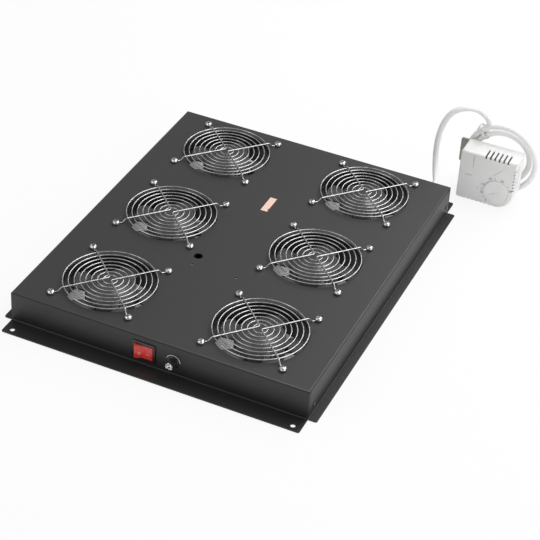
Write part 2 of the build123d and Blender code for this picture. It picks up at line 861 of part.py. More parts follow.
# Blade terminals behind the switch and the fuse holder
with BuildPart() as panel_terminals:
    with BuildSketch(face_at(switch_rear + blade_terminal_length)):
        with Locations((switch_x, switch_z)):
            with GridLocations(terminal_spacing, 0, 3, 1):
                Rectangle(blade_terminal_thickness, blade_terminal_width)
    extrude(amount=blade_terminal_length)
    with BuildSketch(face_at(fuse_rear + blade_terminal_length)):
        with Locations((fuse_x, fuse_z)):
            Rectangle(blade_terminal_thickness, blade_terminal_width)
    extrude(amount=blade_terminal_length)
write(panel_terminals, "panel_terminals")

# Plug inlet in the rear wall
rear_face = half_depth
well_floor = rear_face + inlet_flange_thickness - inlet_well_depth
inlet_rear = rear_face - inlet_body_depth
inlet_pin_places = (
    (inlet_x - pin_pitch / 2, inlet_z - pin_drop / 2),
    (inlet_x, inlet_z + pin_drop / 2),
    (inlet_x + pin_pitch / 2, inlet_z - pin_drop / 2),
)
with BuildPart() as power_inlet:
    with BuildSketch(face_at(rear_face + inlet_flange_thickness)):
        with Locations((inlet_x, inlet_z)):
            RectangleRounded(inlet_flange_width, inlet_flange_height, bezel_corner)
    extrude(amount=inlet_flange_thickness)
    with BuildSketch(face_at(rear_face)):
        with Locations((inlet_x, inlet_z)):
            Rectangle(inlet_body_width, inlet_body_height)
    extrude(amount=inlet_body_depth)
    with BuildSketch(face_at(rear_face + 2 * inlet_flange_thickness)):
        with Locations((inlet_x, inlet_z)):
            Rectangle(inlet_well_width, inlet_well_height)
        chamfer(vertices().group_by(Axis.Y)[-1], length=inlet_well_corner)
    extrude(amount=inlet_well_depth + inlet_flange_thickness, mode=Mode.SUBTRACT)
    with BuildSketch(face_at(rear_face + 2 * inlet_flange_thickness)):
        with Locations((inlet_x, inlet_z)):
            with GridLocations(inlet_screw_pitch, 0, 2, 1):
                Circle(inlet_screw_radius + panel_clearance)
    extrude(amount=3 * inlet_flange_thickness, mode=Mode.SUBTRACT)
    with BuildSketch(face_at(well_floor + cut_over)):
        with Locations(*inlet_pin_places):
            Rectangle(pin_width, pin_height)
    extrude(amount=inlet_body_depth, mode=Mode.SUBTRACT)
write(power_inlet, "power_inlet")

with BuildPart() as inlet_pins:
    with BuildSketch(face_at(well_floor + pin_length)):
        with Locations(*inlet_pin_places):
            Rectangle(pin_width, pin_height)
    extrude(amount=pin_length + well_floor - inlet_rear + pin_tail)
write(inlet_pins, "inlet_pins")

inlet_seat = rear_face + inlet_flange_thickness
inlet_nut_face = inner_y - inlet_nut_height
with BuildPart() as inlet_screws:
    with BuildSketch(face_at(inlet_seat + inlet_screw_head_height)):
        with Locations((inlet_x, inlet_z)):
            with GridLocations(inlet_screw_pitch, 0, 2, 1):
                Circle(inlet_screw_head_radius)
    extrude(amount=inlet_screw_head_height)
    with BuildSketch(face_at(inlet_seat)):
        with Locations((inlet_x, inlet_z)):
            with GridLocations(inlet_screw_pitch, 0, 2, 1):
                Circle(inlet_screw_radius)
    extrude(amount=inlet_seat - inlet_nut_face + screw_end)
write(inlet_screws, "inlet_screws")

with BuildPart() as inlet_nuts:
    with BuildSketch(face_at(inner_y)):
        with Locations((inlet_x, inlet_z)):
            with GridLocations(inlet_screw_pitch, 0, 2, 1):
                RegularPolygon(inlet_nut_width / 2, 6, major_radius=False)
                Circle(inlet_screw_radius + nut_clearance, mode=Mode.SUBTRACT)
    extrude(amount=inlet_nut_height)
write(inlet_nuts, "inlet_nuts")

# Cord gland in the rear wall and its lock nut
gland_mouth = rear_face + gland_hex_thickness + gland_dome_length
gland_inner_end = rear_face - gland_thread_length
with BuildPart() as cord_gland:
    with BuildSketch(face_at(rear_face + gland_hex_thickness)):
        with Locations((gland_x, gland_z)):
            RegularPolygon(gland_hex_width / 2, 6, major_radius=False)
    extrude(amount=gland_hex_thickness)
    with BuildSketch(face_at(rear_face + gland_hex_thickness)):
        with Locations((gland_x, gland_z)):
            Circle(gland_dome_radius)
    with BuildSketch(face_at(gland_mouth)):
        with Locations((gland_x, gland_z)):
            Circle(gland_mouth_radius)
    loft()
    with BuildSketch(face_at(rear_face)):
        with Locations((gland_x, gland_z)):
            Circle(gland_thread_radius)
    extrude(amount=gland_thread_length)
    with BuildSketch(face_at(gland_mouth)):
        with Locations((gland_x, gland_z)):
            Circle(cord_radius + nut_clearance)
    extrude(amount=gland_mouth - gland_inner_end, mode=Mode.SUBTRACT)
write(cord_gland, "cord_gland")

with BuildPart() as gland_locknut:
    with BuildSketch(face_at(inner_y)):
        with Locations((gland_x, gland_z)):
            RegularPolygon(gland_nut_width / 2, 6, major_radius=False)
            Circle(gland_thread_radius + nut_clearance, mode=Mode.SUBTRACT)
    extrude(amount=gland_nut_thickness)
write(gland_locknut, "gland_locknut")

# Thermostat, a base and a vented cover with one corner rounded about the dial
cover_rear = therm_front_y + therm_cover_depth
base_rear = cover_rear + therm_base_depth
base_floor = base_rear - therm_wall
therm_right = therm_left + therm_width
dial_x = therm_right - dial_radius - dial_side_gap
dial_z = dial_radius + dial_side_gap
with BuildSketch() as therm_outline:
    with Locations((therm_left, 0)):
        Rectangle(therm_width, therm_height, align=(Align.MIN, Align.MIN))
    dial_corner = vertices().group_by(Axis.X)[-1].sort_by(Axis.Y)[0]
    fillet(dial_corner, radius=dial_radius + dial_side_gap)
    plain_corners = [*vertices().group_by(Axis.X)[0], vertices().group_by(Axis.Y)[-1][-1]]
    fillet(plain_corners, radius=therm_corner)

with BuildPart() as thermostat_cover:
    with BuildSketch(face_at(cover_rear)):
        add(therm_outline.sketch)
    extrude(amount=therm_cover_depth)
    fillet(faces().sort_by(Axis.Y)[0].edges(), radius=therm_front_edge)
    offset(amount=-therm_wall, openings=faces().sort_by(Axis.Y)[-1])
    with BuildSketch(face_at(therm_front_y + 2 * therm_wall)):
        with Locations((dial_x, dial_z)):
            Circle(dial_radius + dial_gap)
    extrude(amount=3 * therm_wall, mode=Mode.SUBTRACT)
    slot_overrun = 2 * therm_wall
    top_slot_mid = top_slot_first_x + (top_slot_count - 1) * top_slot_pitch / 2
    side_slot_mid = side_slot_first_z + (side_slot_count - 1) * side_slot_pitch / 2
    bottom_slot_mid = bottom_slot_first_x + (bottom_slot_count - 1) * bottom_slot_pitch / 2
    with BuildSketch(face_at(therm_front_y + slot_reach)):
        with Locations((top_slot_mid, therm_height + (slot_overrun - top_slot_wrap) / 2)):
            with GridLocations(top_slot_pitch, 0, top_slot_count, 1):
                Rectangle(slot_width, slot_overrun + top_slot_wrap)
        with Locations((therm_right + (slot_overrun - side_slot_wrap) / 2, side_slot_mid)):
            with GridLocations(0, side_slot_pitch, 1, side_slot_count):
                Rectangle(slot_overrun + side_slot_wrap, slot_width)
        with Locations((bottom_slot_mid, (bottom_slot_wrap - slot_overrun) / 2)):
            with GridLocations(bottom_slot_pitch, 0, bottom_slot_count, 1):
                Rectangle(slot_width, slot_overrun + bottom_slot_wrap)
    extrude(amount=slot_reach + slot_overrun, mode=Mode.SUBTRACT)
write(thermostat_cover, "thermostat_cover")

plate_rear = base_rear + plate_thickness
plate_screw_places = [
    (coil_x - plate_screw_spacing / 2, plate_screw_z),
    (coil_x + plate_screw_spacing / 2, plate_screw_z),
]
# Cord from the coil to the back of the thermostat
lead_route = [
    (193.5, 324.0, 73.0),
    (186.0, 328.5, 50.0),
    (193.0, 338.5, 28.0),
    (216.0, 351.0, 19.5),
    (238.5, 355.5, 34.5),
    (253.5, 339.0, 46.5),
    (253.5, base_floor, 46.5),
]
lead_x = lead_route[-1][0]
lead_z = lead_route[-1][2]
with BuildPart() as thermostat_base:
    with BuildSketch(face_at(base_rear)):
        add(therm_outline.sketch)
    extrude(amount=therm_base_depth)
    offset(amount=-therm_wall, openings=faces().sort_by(Axis.Y)[0])
    with BuildSketch(face_at(base_floor)):
        with Locations(*plate_screw_places):
            Circle(plate_boss_radius)
    extrude(amount=plate_boss_height)
    with BuildSketch(face_at(base_rear)):
        with Locations(*plate_screw_places):
            Circle(plate_screw_radius + nut_clearance)
    extrude(amount=therm_base_depth, mode=Mode.SUBTRACT)
    with BuildSketch(face_at(base_rear)):
        with Locations((lead_x, lead_z)):
            Circle(lead_hole_radius)
    extrude(amount=therm_wall, mode=Mode.SUBTRACT)
write(thermostat_base, "thermostat_base")

# Dial with a pointer groove, and its spindle
dial_face = therm_front_y - dial_proud
dial_rear = dial_face + dial_thickness
block_face = base_floor - switch_block_depth
spindle_end = block_face + switch_block_depth / 2
with BuildPart() as thermostat_dial:
    with BuildSketch(face_at(dial_rear)):
        with Locations((dial_x, dial_z)):
            Circle(dial_radius)
    extrude(amount=dial_thickness)
    fillet(faces().sort_by(Axis.Y)[0].edges(), radius=dial_proud / 2)
    with BuildSketch(face_at(dial_face + dial_groove_depth)):
        with Locations((dial_x, dial_z)):
            with PolarLocations(dial_groove_reach, 1, start_angle=dial_groove_angle):
                SlotOverall(dial_groove_length, dial_groove_width)
    extrude(amount=2 * dial_groove_depth, mode=Mode.SUBTRACT)
write(thermostat_dial, "thermostat_dial")

with BuildPart() as dial_spindle:
    with BuildSketch(face_at(spindle_end)):
        with Locations((dial_x, dial_z)):
            Circle(spindle_radius)
    extrude(amount=spindle_end - dial_rear)
write(dial_spindle, "dial_spindle")

# Snap switch on the base, with the blade that senses the temperature
with BuildPart() as thermostat_switch:
    with BuildSketch(face_at(base_floor)):
        with Locations((dial_x, dial_z)):
            Rectangle(switch_block_width, switch_block_height)
    extrude(amount=switch_block_depth)
    with BuildSketch(face_at(spindle_end + spindle_clearance)):
        with Locations((dial_x, dial_z)):
            Circle(spindle_radius + spindle_clearance)
    extrude(amount=switch_block_depth, mode=Mode.SUBTRACT)
write(thermostat_switch, "thermostat_switch")

strip_x = therm_left + 2 * therm_wall
strip_z = dial_z
with BuildPart() as bimetal_strip:
    with BuildSketch(face_at(base_floor)):
        with Locations((strip_x, strip_z)):
            Rectangle(strip_foot, strip_width, align=(Align.MIN, Align.CENTER))
    extrude(amount=switch_block_depth)
    with BuildSketch(face_at(block_face + strip_thickness)):
        with Locations((strip_x, strip_z)):
            Rectangle(strip_length, strip_width, align=(Align.MIN, Align.CENTER))
    extrude(amount=strip_thickness)
write(bimetal_strip, "bimetal_strip")

# Steel plate that the thermostat is screwed to
with BuildPart() as thermostat_plate:
    with BuildSketch(face_at(plate_rear)):
        with Locations((plate_left, plate_foot)):
            Rectangle(plate_right - plate_left, plate_top - plate_foot, align=(Align.MIN, Align.MIN))
        fillet(vertices(), radius=plate_corner)
        with Locations(*plate_screw_places):
            Circle(plate_screw_radius + nut_clearance, mode=Mode.SUBTRACT)
        with Locations((lead_x, lead_z)):
            Circle(lead_hole_radius, mode=Mode.SUBTRACT)
    extrude(amount=plate_thickness)
write(thermostat_plate, "thermostat_plate")

with BuildPart() as plate_screws:
    with BuildSketch(face_at(plate_rear + plate_screw_head_height)):
        with Locations(*plate_screw_places):
            Circle(plate_screw_head_radius)
    extrude(amount=plate_screw_head_height)
    with BuildSketch(face_at(plate_rear)):
        with Locations(*plate_screw_places):
            Circle(plate_screw_radius)
    extrude(amount=plate_thickness + therm_wall + plate_screw_bite)
write(plate_screws, "plate_screws")

# Upright coil of cord, as one plain ring that stands on the floor
coil_front = plate_rear + coil_gap
coil_z = coil_outer_radius + coil_floor_gap
coil_y = coil_front + coil_thickness / 2
with BuildPart() as cord_coil:
    with BuildSketch(face_at(coil_front + coil_thickness)):
        with Locations((coil_x, coil_z)):
            Circle(coil_outer_radius)
            Circle(coil_inner_radius, mode=Mode.SUBTRACT)
    extrude(amount=coil_thickness)
    fillet(edges().filter_by(GeomType.CIRCLE), radius=coil_edge)
write(cord_coil, "cord_coil")

# Cable tie round the coil
tie_turn = radians(tie_angle)
tie_reach = (coil_inner_radius + coil_outer_radius) / 2
tie_plane = Plane(
    origin=(coil_x + tie_reach * cos(tie_turn), coil_y, coil_z + tie_reach * sin(tie_turn)),
    x_dir=(cos(tie_turn), 0, sin(tie_turn)),
    z_dir=(-sin(tie_turn), 0, cos(tie_turn)),
)
tie_across = coil_outer_radius - coil_inner_radius + 2 * tie_clearance
tie_through = coil_thickness + 2 * tie_clearance
with BuildPart() as cable_tie:
    with BuildSketch(tie_plane):
        Rectangle(tie_across + 2 * tie_thickness, tie_through + 2 * tie_thickness)
        Rectangle(tie_across, tie_through, mode=Mode.SUBTRACT)
    extrude(amount=tie_width / 2, both=True)
write(cable_tie, "cable_tie")

# Cord from the gland, over an arch and down to the coil
cord_start = rear_face + gland_hex_thickness / 2
cord_route = [
    (gland_x, cord_start, gland_z),
    (gland_x, 264.0, gland_z),
    (160.0, 280.0, 29.0),
    (154.5, 289.5, 48.0),
    (153.5, 291.0, 72.0),
    (156.0, 295.0, 96.0),
    (166.0, 299.0, 119.0),
    (182.5, 303.0, 128.5),
    (200.0, 312.0, 127.0),
    (213.0, 319.5, 114.0),
    (216.0, coil_y - 1.0, 94.0),
]


def cord_tube(route, radius):
    """Round tube along straight runs joined by the largest arcs that the runs allow."""
    bends = corner_radii(route)
    with BuildPart() as tube:
        with BuildLine() as path:
            FilletPolyline(*route, radius=bends)
        with BuildSketch(Plane(origin=path.line @ 0, z_dir=path.line % 0)):
            Circle(radius)
        sweep(path=path.line)
    length = path.wires()[0].length
    print("bend radii", [round(bend, 1) for bend in bends], "length", round(length, 1))
    print("volume share", round(tube.part.volume / (pi * radius**2 * length), 4))
    return tube


thermostat_cord = cord_tube(cord_route, cord_radius)
write(thermostat_cord, "thermostat_cord")
thermostat_lead = cord_tube(lead_route, cord_radius)
write(thermostat_lead, "thermostat_lead")

# Terminal block under the top plate, with its two screws
block_top = fan_top
with BuildPart() as terminal_block:
    with BuildSketch(Plane.XY.offset(block_top - block_height)):
        with Locations((0, block_y)):
            Rectangle(2 * block_half, block_depth)
    extrude(amount=block_height)
    with BuildSketch(Plane.XY.offset(block_top - block_ear_thickness)):
        with Locations((0, block_y)):
            Rectangle(2 * (block_half + block_ear), block_depth / 2)
    extrude(amount=block_ear_thickness)
    with BuildSketch(Plane.XY.offset(block_top - block_ear_thickness)):
        with Locations((-block_screw_x, block_y), (block_screw_x, block_y)):
            Circle(block_screw_radius + rivet_clearance)
    extrude(amount=block_ear_thickness, mode=Mode.SUBTRACT)
    with BuildSketch(Plane.XY.offset(block_top - block_height)):
        with Locations((0, block_y)):
            with GridLocations(block_pole_pitch, block_depth / 2, block_pole_count, 2):
                Circle(block_screw_radius)
    extrude(amount=block_pocket_depth, mode=Mode.SUBTRACT)
write(terminal_block, "terminal_block")

with BuildPart() as block_screws:
    with BuildSketch(Plane.XY.offset(block_top - block_ear_thickness)):
        with Locations((-block_screw_x, block_y), (block_screw_x, block_y)):
            Circle(block_screw_head_radius)
    extrude(amount=-block_screw_head_height)
    with BuildSketch(Plane.XY.offset(block_top - block_ear_thickness)):
        with Locations((-block_screw_x, block_y), (block_screw_x, block_y)):
            Circle(block_screw_radius)
    extrude(amount=block_ear_thickness + sheet / 2)
write(block_screws, "block_screws")

# Leads from each fan, the switch, the fuse, the inlet and the gland to the block
wire_high = fan_top - wire_high_gap
block_front = block_y - block_depth / 2
block_rear = block_y + block_depth / 2
lead_start = bay_half + fan_size / 2 - fan_bore_radius - fan_barrel_wall
front_lane = front_lane_poles * block_pole_pitch
rear_lane = rear_lane_poles * block_pole_pitch
feed_lane = feed_lane_poles * block_pole_pitch
fan_wires = []
for x, y in fan_centres:
    side = 1 if x > 0 else -1
    toward = 1 if y < block_y else -1
    lane = side * (rear_lane if y > block_rear + fan_pitch_y else front_lane)
    face = block_front if y < block_y else block_rear
    fan_wires.append(
        [
            (side * lead_start, y, wire_low),
            (lane, y, wire_low),
            (lane, y + toward * wire_rise_run, wire_high),
            (lane, face, wire_high),
        ]
    )
switch_lane = switch_x - terminal_spacing
switch_lead_y = switch_rear + blade_terminal_length
fuse_lead_y = fuse_rear + blade_terminal_length
inlet_lead_y = inlet_rear - pin_tail
inlet_lead_z = inlet_z + pin_drop / 2
supply_wires = [
    [
        (switch_lane, switch_lead_y, switch_z),
        (switch_lane, switch_lead_y + wire_straight, switch_z),
        (switch_lane, switch_lead_y + wire_straight + wire_rise_run, wire_high),
        (switch_lane, block_front, wire_high),
    ],
    [
        (fuse_x, fuse_lead_y, fuse_z),
        (fuse_x, fuse_lead_y + wire_straight, fuse_z),
        (fuse_x, fuse_lead_y + wire_straight + wire_rise_run, wire_high),
        (fuse_x, block_front, wire_high),
    ],
    [
        (inlet_x, inlet_lead_y, inlet_lead_z),
        (inlet_x, inlet_lead_y - wire_straight, inlet_lead_z),
        (inlet_x, inlet_lead_y - wire_straight - wire_rise_run, wire_high),
        (inlet_x, block_rear, wire_high),
    ],
]
row_lane = fan_pitch_y / 2
feed_bend_y = gland_inner_end - wire_straight
feed_wire = [
    (gland_x, cord_start, gland_z),
    (gland_x, feed_bend_y, gland_z),
    (gland_x, feed_bend_y - wire_rise_run, wire_high),
    (gland_x, row_lane, wire_high),
    (feed_lane, row_lane, wire_high),
    (feed_lane, block_rear, wire_high),
]


def wire(route, radius):
    """Wire along its route with one small bend at each corner."""
    with BuildPart() as lead:
        with BuildLine() as path:
            FilletPolyline(*route, radius=wire_bend)
        with BuildSketch(Plane(origin=path.line @ 0, z_dir=path.line % 0)):
            Circle(radius)
        sweep(path=path.line)
    return lead.part


wires = [wire(route, wire_radius) for route in fan_wires + supply_wires]
wires.append(wire(feed_wire, feed_radius))
with BuildPart() as wiring:
    add(wires)
write(wiring, "wiring")

# Clips that hold the leads to the underside of the top plate
clip_places = (
    (gland_x, row_lane + gland_clip_run, feed_radius, 0),
    ((gland_x + feed_lane) / 2, row_lane, feed_radius, 90),
    (feed_lane, 0.0, feed_radius, 0),
    (inlet_x, fan_pitch_y / 2, wire_radius, 0),
)
with BuildPart() as cable_clips:
    for x, y, radius, turn in clip_places:
        low = wire_high - radius - clip_wall
        with BuildSketch(Plane.XY.offset(low)):
            with Locations(Location((x, y), turn)):
                Rectangle(2 * (radius + clip_wall), clip_size)
        extrude(amount=fan_top - low)
    for x, y, radius, turn in clip_places:
        along = Vector(0, 1, 0).rotate(Axis.Z, turn)
        bore_plane = Plane(origin=Vector(x, y, wire_high) - along * clip_size, z_dir=along)
        with BuildSketch(bore_plane):
            Circle(radius + clip_clearance)
        extrude(amount=2 * clip_size, mode=Mode.SUBTRACT)
write(cable_clips, "cable_clips")
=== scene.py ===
"""Looks of the rack fan tray: finishes for the solids, and the detailed pieces round them."""

import json
from math import cos, pi, radians, sin, sqrt

import bpy
from mathutils import Matrix, Vector

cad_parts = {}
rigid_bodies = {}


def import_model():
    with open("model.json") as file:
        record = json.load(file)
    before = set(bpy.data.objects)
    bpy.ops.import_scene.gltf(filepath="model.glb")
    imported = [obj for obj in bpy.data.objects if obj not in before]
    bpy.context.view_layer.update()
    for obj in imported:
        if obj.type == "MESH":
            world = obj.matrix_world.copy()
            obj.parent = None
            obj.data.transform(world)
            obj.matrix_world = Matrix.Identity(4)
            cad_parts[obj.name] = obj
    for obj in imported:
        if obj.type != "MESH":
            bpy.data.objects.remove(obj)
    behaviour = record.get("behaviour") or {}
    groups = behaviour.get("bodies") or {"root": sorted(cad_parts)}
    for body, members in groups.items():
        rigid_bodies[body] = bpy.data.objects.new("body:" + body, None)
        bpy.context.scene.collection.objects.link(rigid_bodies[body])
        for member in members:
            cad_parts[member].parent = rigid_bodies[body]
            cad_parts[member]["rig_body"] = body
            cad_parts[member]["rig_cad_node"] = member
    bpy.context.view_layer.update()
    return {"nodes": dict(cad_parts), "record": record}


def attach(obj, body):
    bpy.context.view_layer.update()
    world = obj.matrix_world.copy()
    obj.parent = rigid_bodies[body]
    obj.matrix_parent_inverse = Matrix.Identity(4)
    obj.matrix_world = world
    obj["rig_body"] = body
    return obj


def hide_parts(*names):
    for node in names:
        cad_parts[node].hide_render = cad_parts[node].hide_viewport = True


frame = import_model()
nodes = frame["nodes"]
MM = 0.001

# Places and sizes of the solids, in millimetres
FAN_CENTRES = [(x, y) for y in (-164.5, 0.0, 164.5) for x in (-100.4, 100.4)]
FAN_NUMBERS = range(1, 7)
SCREW_REACH = 52.5
TOP = 43.0
COIL_X, COIL_Z = 237.0, 52.8
CORD_RADIUS = 4.0


# Selecting and finishing

def deselect():
    """Leave edit mode and deselect everything."""
    if bpy.context.object and bpy.context.object.mode != "OBJECT":
        bpy.ops.object.mode_set(mode="OBJECT")
    bpy.ops.object.select_all(action="DESELECT")


def pick(*pieces):
    """Select these pieces alone and make the first one active."""
    deselect()
    for piece in pieces:
        piece.select_set(True)
    bpy.context.view_layer.objects.active = pieces[0]
    return pieces[0]


def added(name):
    """Name the primitive that was just added."""
    piece = bpy.context.object
    piece.name = name
    piece.data.name = name
    return piece


def settle(piece):
    """Put the piece's place into its mesh, with its object at the origin."""
    pick(piece)
    bpy.ops.object.transform_apply(location=True, rotation=True, scale=True)
    return piece


def joined(name, pieces):
    """Make one piece of several."""
    pick(*pieces)
    if len(pieces) > 1:
        bpy.ops.object.join()
    piece = bpy.context.object
    piece.name = name
    piece.data.name = name
    return settle(piece)


def copied(piece, name, shift=(0, 0, 0)):
    """Copy a piece with a mesh of its own, moved by so many millimetres."""
    twin = piece.copy()
    twin.data = piece.data.copy()
    twin.name = name
    twin.data.name = name
    bpy.context.scene.collection.objects.link(twin)
    twin.data.transform(Matrix.Translation(Vector(shift) * MM))
    return twin


def smooth(piece, angle=35):
    """Smooth shading, with edges sharper than the angle kept."""
    pick(piece)
    bpy.ops.object.shade_smooth_by_angle(angle=radians(angle))
    return piece


def soften(piece, width, segments=2, limit=40):
    """Round the sharp edges of a piece by so many millimetres."""
    pick(piece)
    modifier = piece.modifiers.new("Edges", "BEVEL")
    modifier.width = width * MM
    modifier.segments = segments
    modifier.limit_method = "ANGLE"
    modifier.angle_limit = radians(limit)
    modifier.harden_normals = False
    bpy.ops.object.modifier_apply(modifier=modifier.name)
    return piece


def tidy_mesh(piece, recalculate=True):
    """Merge doubles and turn all the faces outward."""
    pick(piece)
    bpy.ops.object.mode_set(mode="EDIT")
    bpy.ops.mesh.select_all(action="SELECT")
    bpy.ops.mesh.remove_doubles(threshold=0.00001)
    if recalculate:
        bpy.ops.mesh.normals_make_consistent(inside=False)
    bpy.ops.object.mode_set(mode="OBJECT")
    return piece


def merged_node(node, name, angle=30):
    """Copy a solid's mesh, merged and smoothly shaded."""
    piece = copied(nodes[node], name)
    piece.parent = None
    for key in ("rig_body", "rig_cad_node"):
        if key in piece:
            del piece[key]
    tidy_mesh(piece, recalculate=False)
    return smooth(piece, angle)


def place(piece, body, slot, material, *stands_for):
    """Give a finished piece its body, its material and the solids that it stands for. The slot is
    not used.
    """
    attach(piece, body)
    piece.data.materials.clear()
    piece.data.materials.append(material)
    if stands_for:
        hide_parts(*stands_for)
    return piece


# Shader nodes as arithmetic

class Value:
    """One output of a material's nodes, which Python arithmetic extends."""

    def __init__(self, finish, socket):
        self.finish = finish
        self.socket = socket

    def combine(self, operation, first, second):
        return self.finish.node("ShaderNodeMath", {"operation": operation}, {0: first, 1: second})

    def __add__(self, other):
        return self.combine("ADD", self, other)

    __radd__ = __add__

    def __mul__(self, other):
        return self.combine("MULTIPLY", self, other)

    __rmul__ = __mul__

    def __sub__(self, other):
        return self.combine("SUBTRACT", self, other)

    def __rsub__(self, other):
        return self.combine("SUBTRACT", other, self)

    def __truediv__(self, other):
        return self.combine("DIVIDE", self, other)

    def __abs__(self):
        return self.finish.node("ShaderNodeMath", {"operation": "ABSOLUTE"}, {0: self})

    def ramp(self, low, high):
        """0 below low, 1 above high, smooth between."""
        return self.finish.node(
            "ShaderNodeMapRange",
            {"interpolation_type": "SMOOTHSTEP"},
            {"Value": self, "From Min": low, "From Max": high},
        )

    def band(self, rise, fall):
        """1 between two steps, each of which has its own low and high end."""
        return self.ramp(*rise) * (1 - self.ramp(*fall))


class Finish:
    """A material built from nodes."""

    def __init__(self, name):
        self.material = bpy.data.materials.new(name)
        self.material.use_nodes = True
        self.tree = self.material.node_tree
        self.shader = self.tree.nodes["Principled BSDF"]
        self.place = self.node("ShaderNodeTexCoord", {}, {}, "Object")

    def node(self, kind, settings, inputs, output=0):
        """Add one node: its settings first, then the values or links of its sockets."""
        made = self.tree.nodes.new(kind)
        for key, value in settings.items():
            setattr(made, key, value)
        for key, value in inputs.items():
            self.feed(made.inputs[key], value)
        return Value(self, made.outputs[output])

    def feed(self, socket, value):
        """Link a value to a socket, or set it there."""
        if isinstance(value, Value):
            self.tree.links.new(value.socket, socket)
        elif hasattr(socket.default_value, "__len__") and len(value) < len(socket.default_value):
            socket.default_value = (*value, 1.0)
        else:
            socket.default_value = value

    def set(self, **inputs):
        """Set or link sockets of the shader, their names written with underscores."""
        for key, value in inputs.items():
            self.feed(self.shader.inputs[key.replace("_", " ")], value)

    def noise(self, scale, detail=2.0, rough=0.5, stretch=None):
        """Noise of so many cells per metre."""
        where = self.place
        if stretch:
            where = self.node(
                "ShaderNodeVectorMath", {"operation": "MULTIPLY"}, {0: where, 1: stretch}
            )
        return self.node(
            "ShaderNodeTexNoise",
            {},
            {"Vector": where, "Scale": scale, "Detail": detail, "Roughness": rough},
        )

    def cells(self, scale):
        """Distance to the nearest of scattered points, so many per metre."""
        return self.node("ShaderNodeTexVoronoi", {}, {"Vector": self.place, "Scale": scale})

    def axes(self):
        """The place on the object as three values, in metres."""
        split = self.tree.nodes.new("ShaderNodeSeparateXYZ")
        self.tree.links.new(self.place.socket, split.inputs[0])
        return [Value(self, output) for output in split.outputs]

    def blend(self, share, first, second):
        """One colour changing into another."""
        return self.node(
            "ShaderNodeMix",
            {"data_type": "RGBA"},
            {0: share, 6: first, 7: second},
            output=2,
        )

    def bump(self, height, depth, strength=1.0):
        """Relief of so many millimetres on the surface."""
        relief = self.node(
            "ShaderNodeBump", {}, {"Height": height, "Distance": depth * MM, "Strength": strength}
        )
        self.set(Normal=relief)


def grey(level, warm=0.0):
    """A neutral colour, a little warmer or cooler."""
    return (level * (1 + warm), level, level * (1 - warm))


# Camera

camera_data = bpy.data.cameras.new("Camera")
camera = bpy.data.objects.new("Camera", camera_data)
bpy.context.scene.collection.objects.link(camera)
RIGHT = Vector((0.90973008, 0.4113783, 0.05620571))
DOWN = Vector((0.28664807, -0.5243505, -0.80180387))
FORWARD = Vector((-0.30037322, 0.74553635, -0.59493821))
EYE = Vector((723.380, -1694.323, 1357.000)) * MM
turn = Matrix((RIGHT, -DOWN, -FORWARD)).transposed().to_4x4()
camera.matrix_world = Matrix.Translation(EYE) @ turn
camera_data.sensor_width = 36.0
camera_data.lens = 119.053
camera_data.clip_start = 0.05
camera_data.clip_end = 100.0
bpy.context.scene.camera = camera


# Cord from the gland to the coil, round it twice, and on into the thermostat

arch = [
    (168.0, 240.0, 21.0),
    (168.0, 264.0, 21.0),
    (160.0, 280.0, 29.0),
    (154.5, 289.5, 48.0),
    (153.5, 291.0, 72.0),
    (156.0, 295.0, 96.0),
    (165.6, 299.0, 117.8),
    (181.5, 303.0, 127.2),
    (197.6, 312.0, 125.4),
    (209.6, 319.5, 113.2),
]
lead = [
    (193.5, 324.0, 73.0),
    (186.0, 328.5, 50.0),
    (193.0, 338.5, 28.0),
    (216.0, 351.0, 19.5),
    (238.5, 355.5, 34.5),
    (253.5, 339.0, 46.5),
    (253.5, 314.4, 46.5),
]
# Angle in degrees, distance from the coil's centre, and place in depth
turn_stages = [
    (115.0, 51.6, 325.5),
    (131.0, 45.0, 329.6),
    (180.0, 40.0, 331.5),
    (360.0, 38.6, 330.0),
    (450.0, 38.4, 327.0),
    (490.0, 38.6, 325.2),
    (545.0, 42.5, 323.6),
    (600.0, 46.5, 323.0),
    (640.0, 49.3, 322.8),
    (850.0, 49.6, 323.0),
]
POINTS_PER_TURN = 16


def stage_at(angle):
    """Distance and depth of the coil's line at an angle."""
    for (a0, r0, y0), (a1, r1, y1) in zip(turn_stages, turn_stages[1:]):
        if angle <= a1:
            share = (angle - a0) / (a1 - a0)
            share = share * share * (3 - 2 * share)
            return r0 + (r1 - r0) * share, y0 + (y1 - y0) * share
    return turn_stages[-1][1:]


coil = []
first_angle, last_angle = turn_stages[0][0], turn_stages[-1][0]
steps = round((last_angle - first_angle) / 360 * POINTS_PER_TURN)
for step in range(steps + 1):
    angle = first_angle + (last_angle - first_angle) * step / steps
    reach, depth = stage_at(angle)
    coil.append(
        (COIL_X + reach * cos(radians(angle)), depth, COIL_Z + reach * sin(radians(angle)))
    )

cord_points = arch + coil + lead
cord_curve = bpy.data.curves.new("cord", "CURVE")
cord_curve.dimensions = "3D"
cord_curve.bevel_depth = CORD_RADIUS * MM
cord_curve.bevel_resolution = 6
cord_curve.resolution_u = 8
cord_curve.use_fill_caps = True
line = cord_curve.splines.new("NURBS")
line.points.add(len(cord_points) - 1)
for point, place_mm in zip(line.points, cord_points):
    point.co = (*(Vector(place_mm) * MM), 1.0)
line.order_u = 3
line.use_endpoint_u = True
cord = bpy.data.objects.new("cord", cord_curve)
bpy.context.scene.collection.objects.link(cord)


# Finishes

# Heights on the tray, in metres, of the painted highlights and painted shade in its coat: where
# each change starts and ends
EDGE_HIGHLIGHT_LINE = ((0.0424, 0.0428), (0.04290, 0.04298))
SHADE_LINE = ((0.0402, 0.0410), (0.0420, 0.0425))
FOOT_HIGHLIGHT_LINE = ((0.0016, 0.0019), (0.0026, 0.0034))
WALL_SHADE_RISE = (0.0025, 0.030)
FLANGE_TOP = (0.0010, 0.0020)


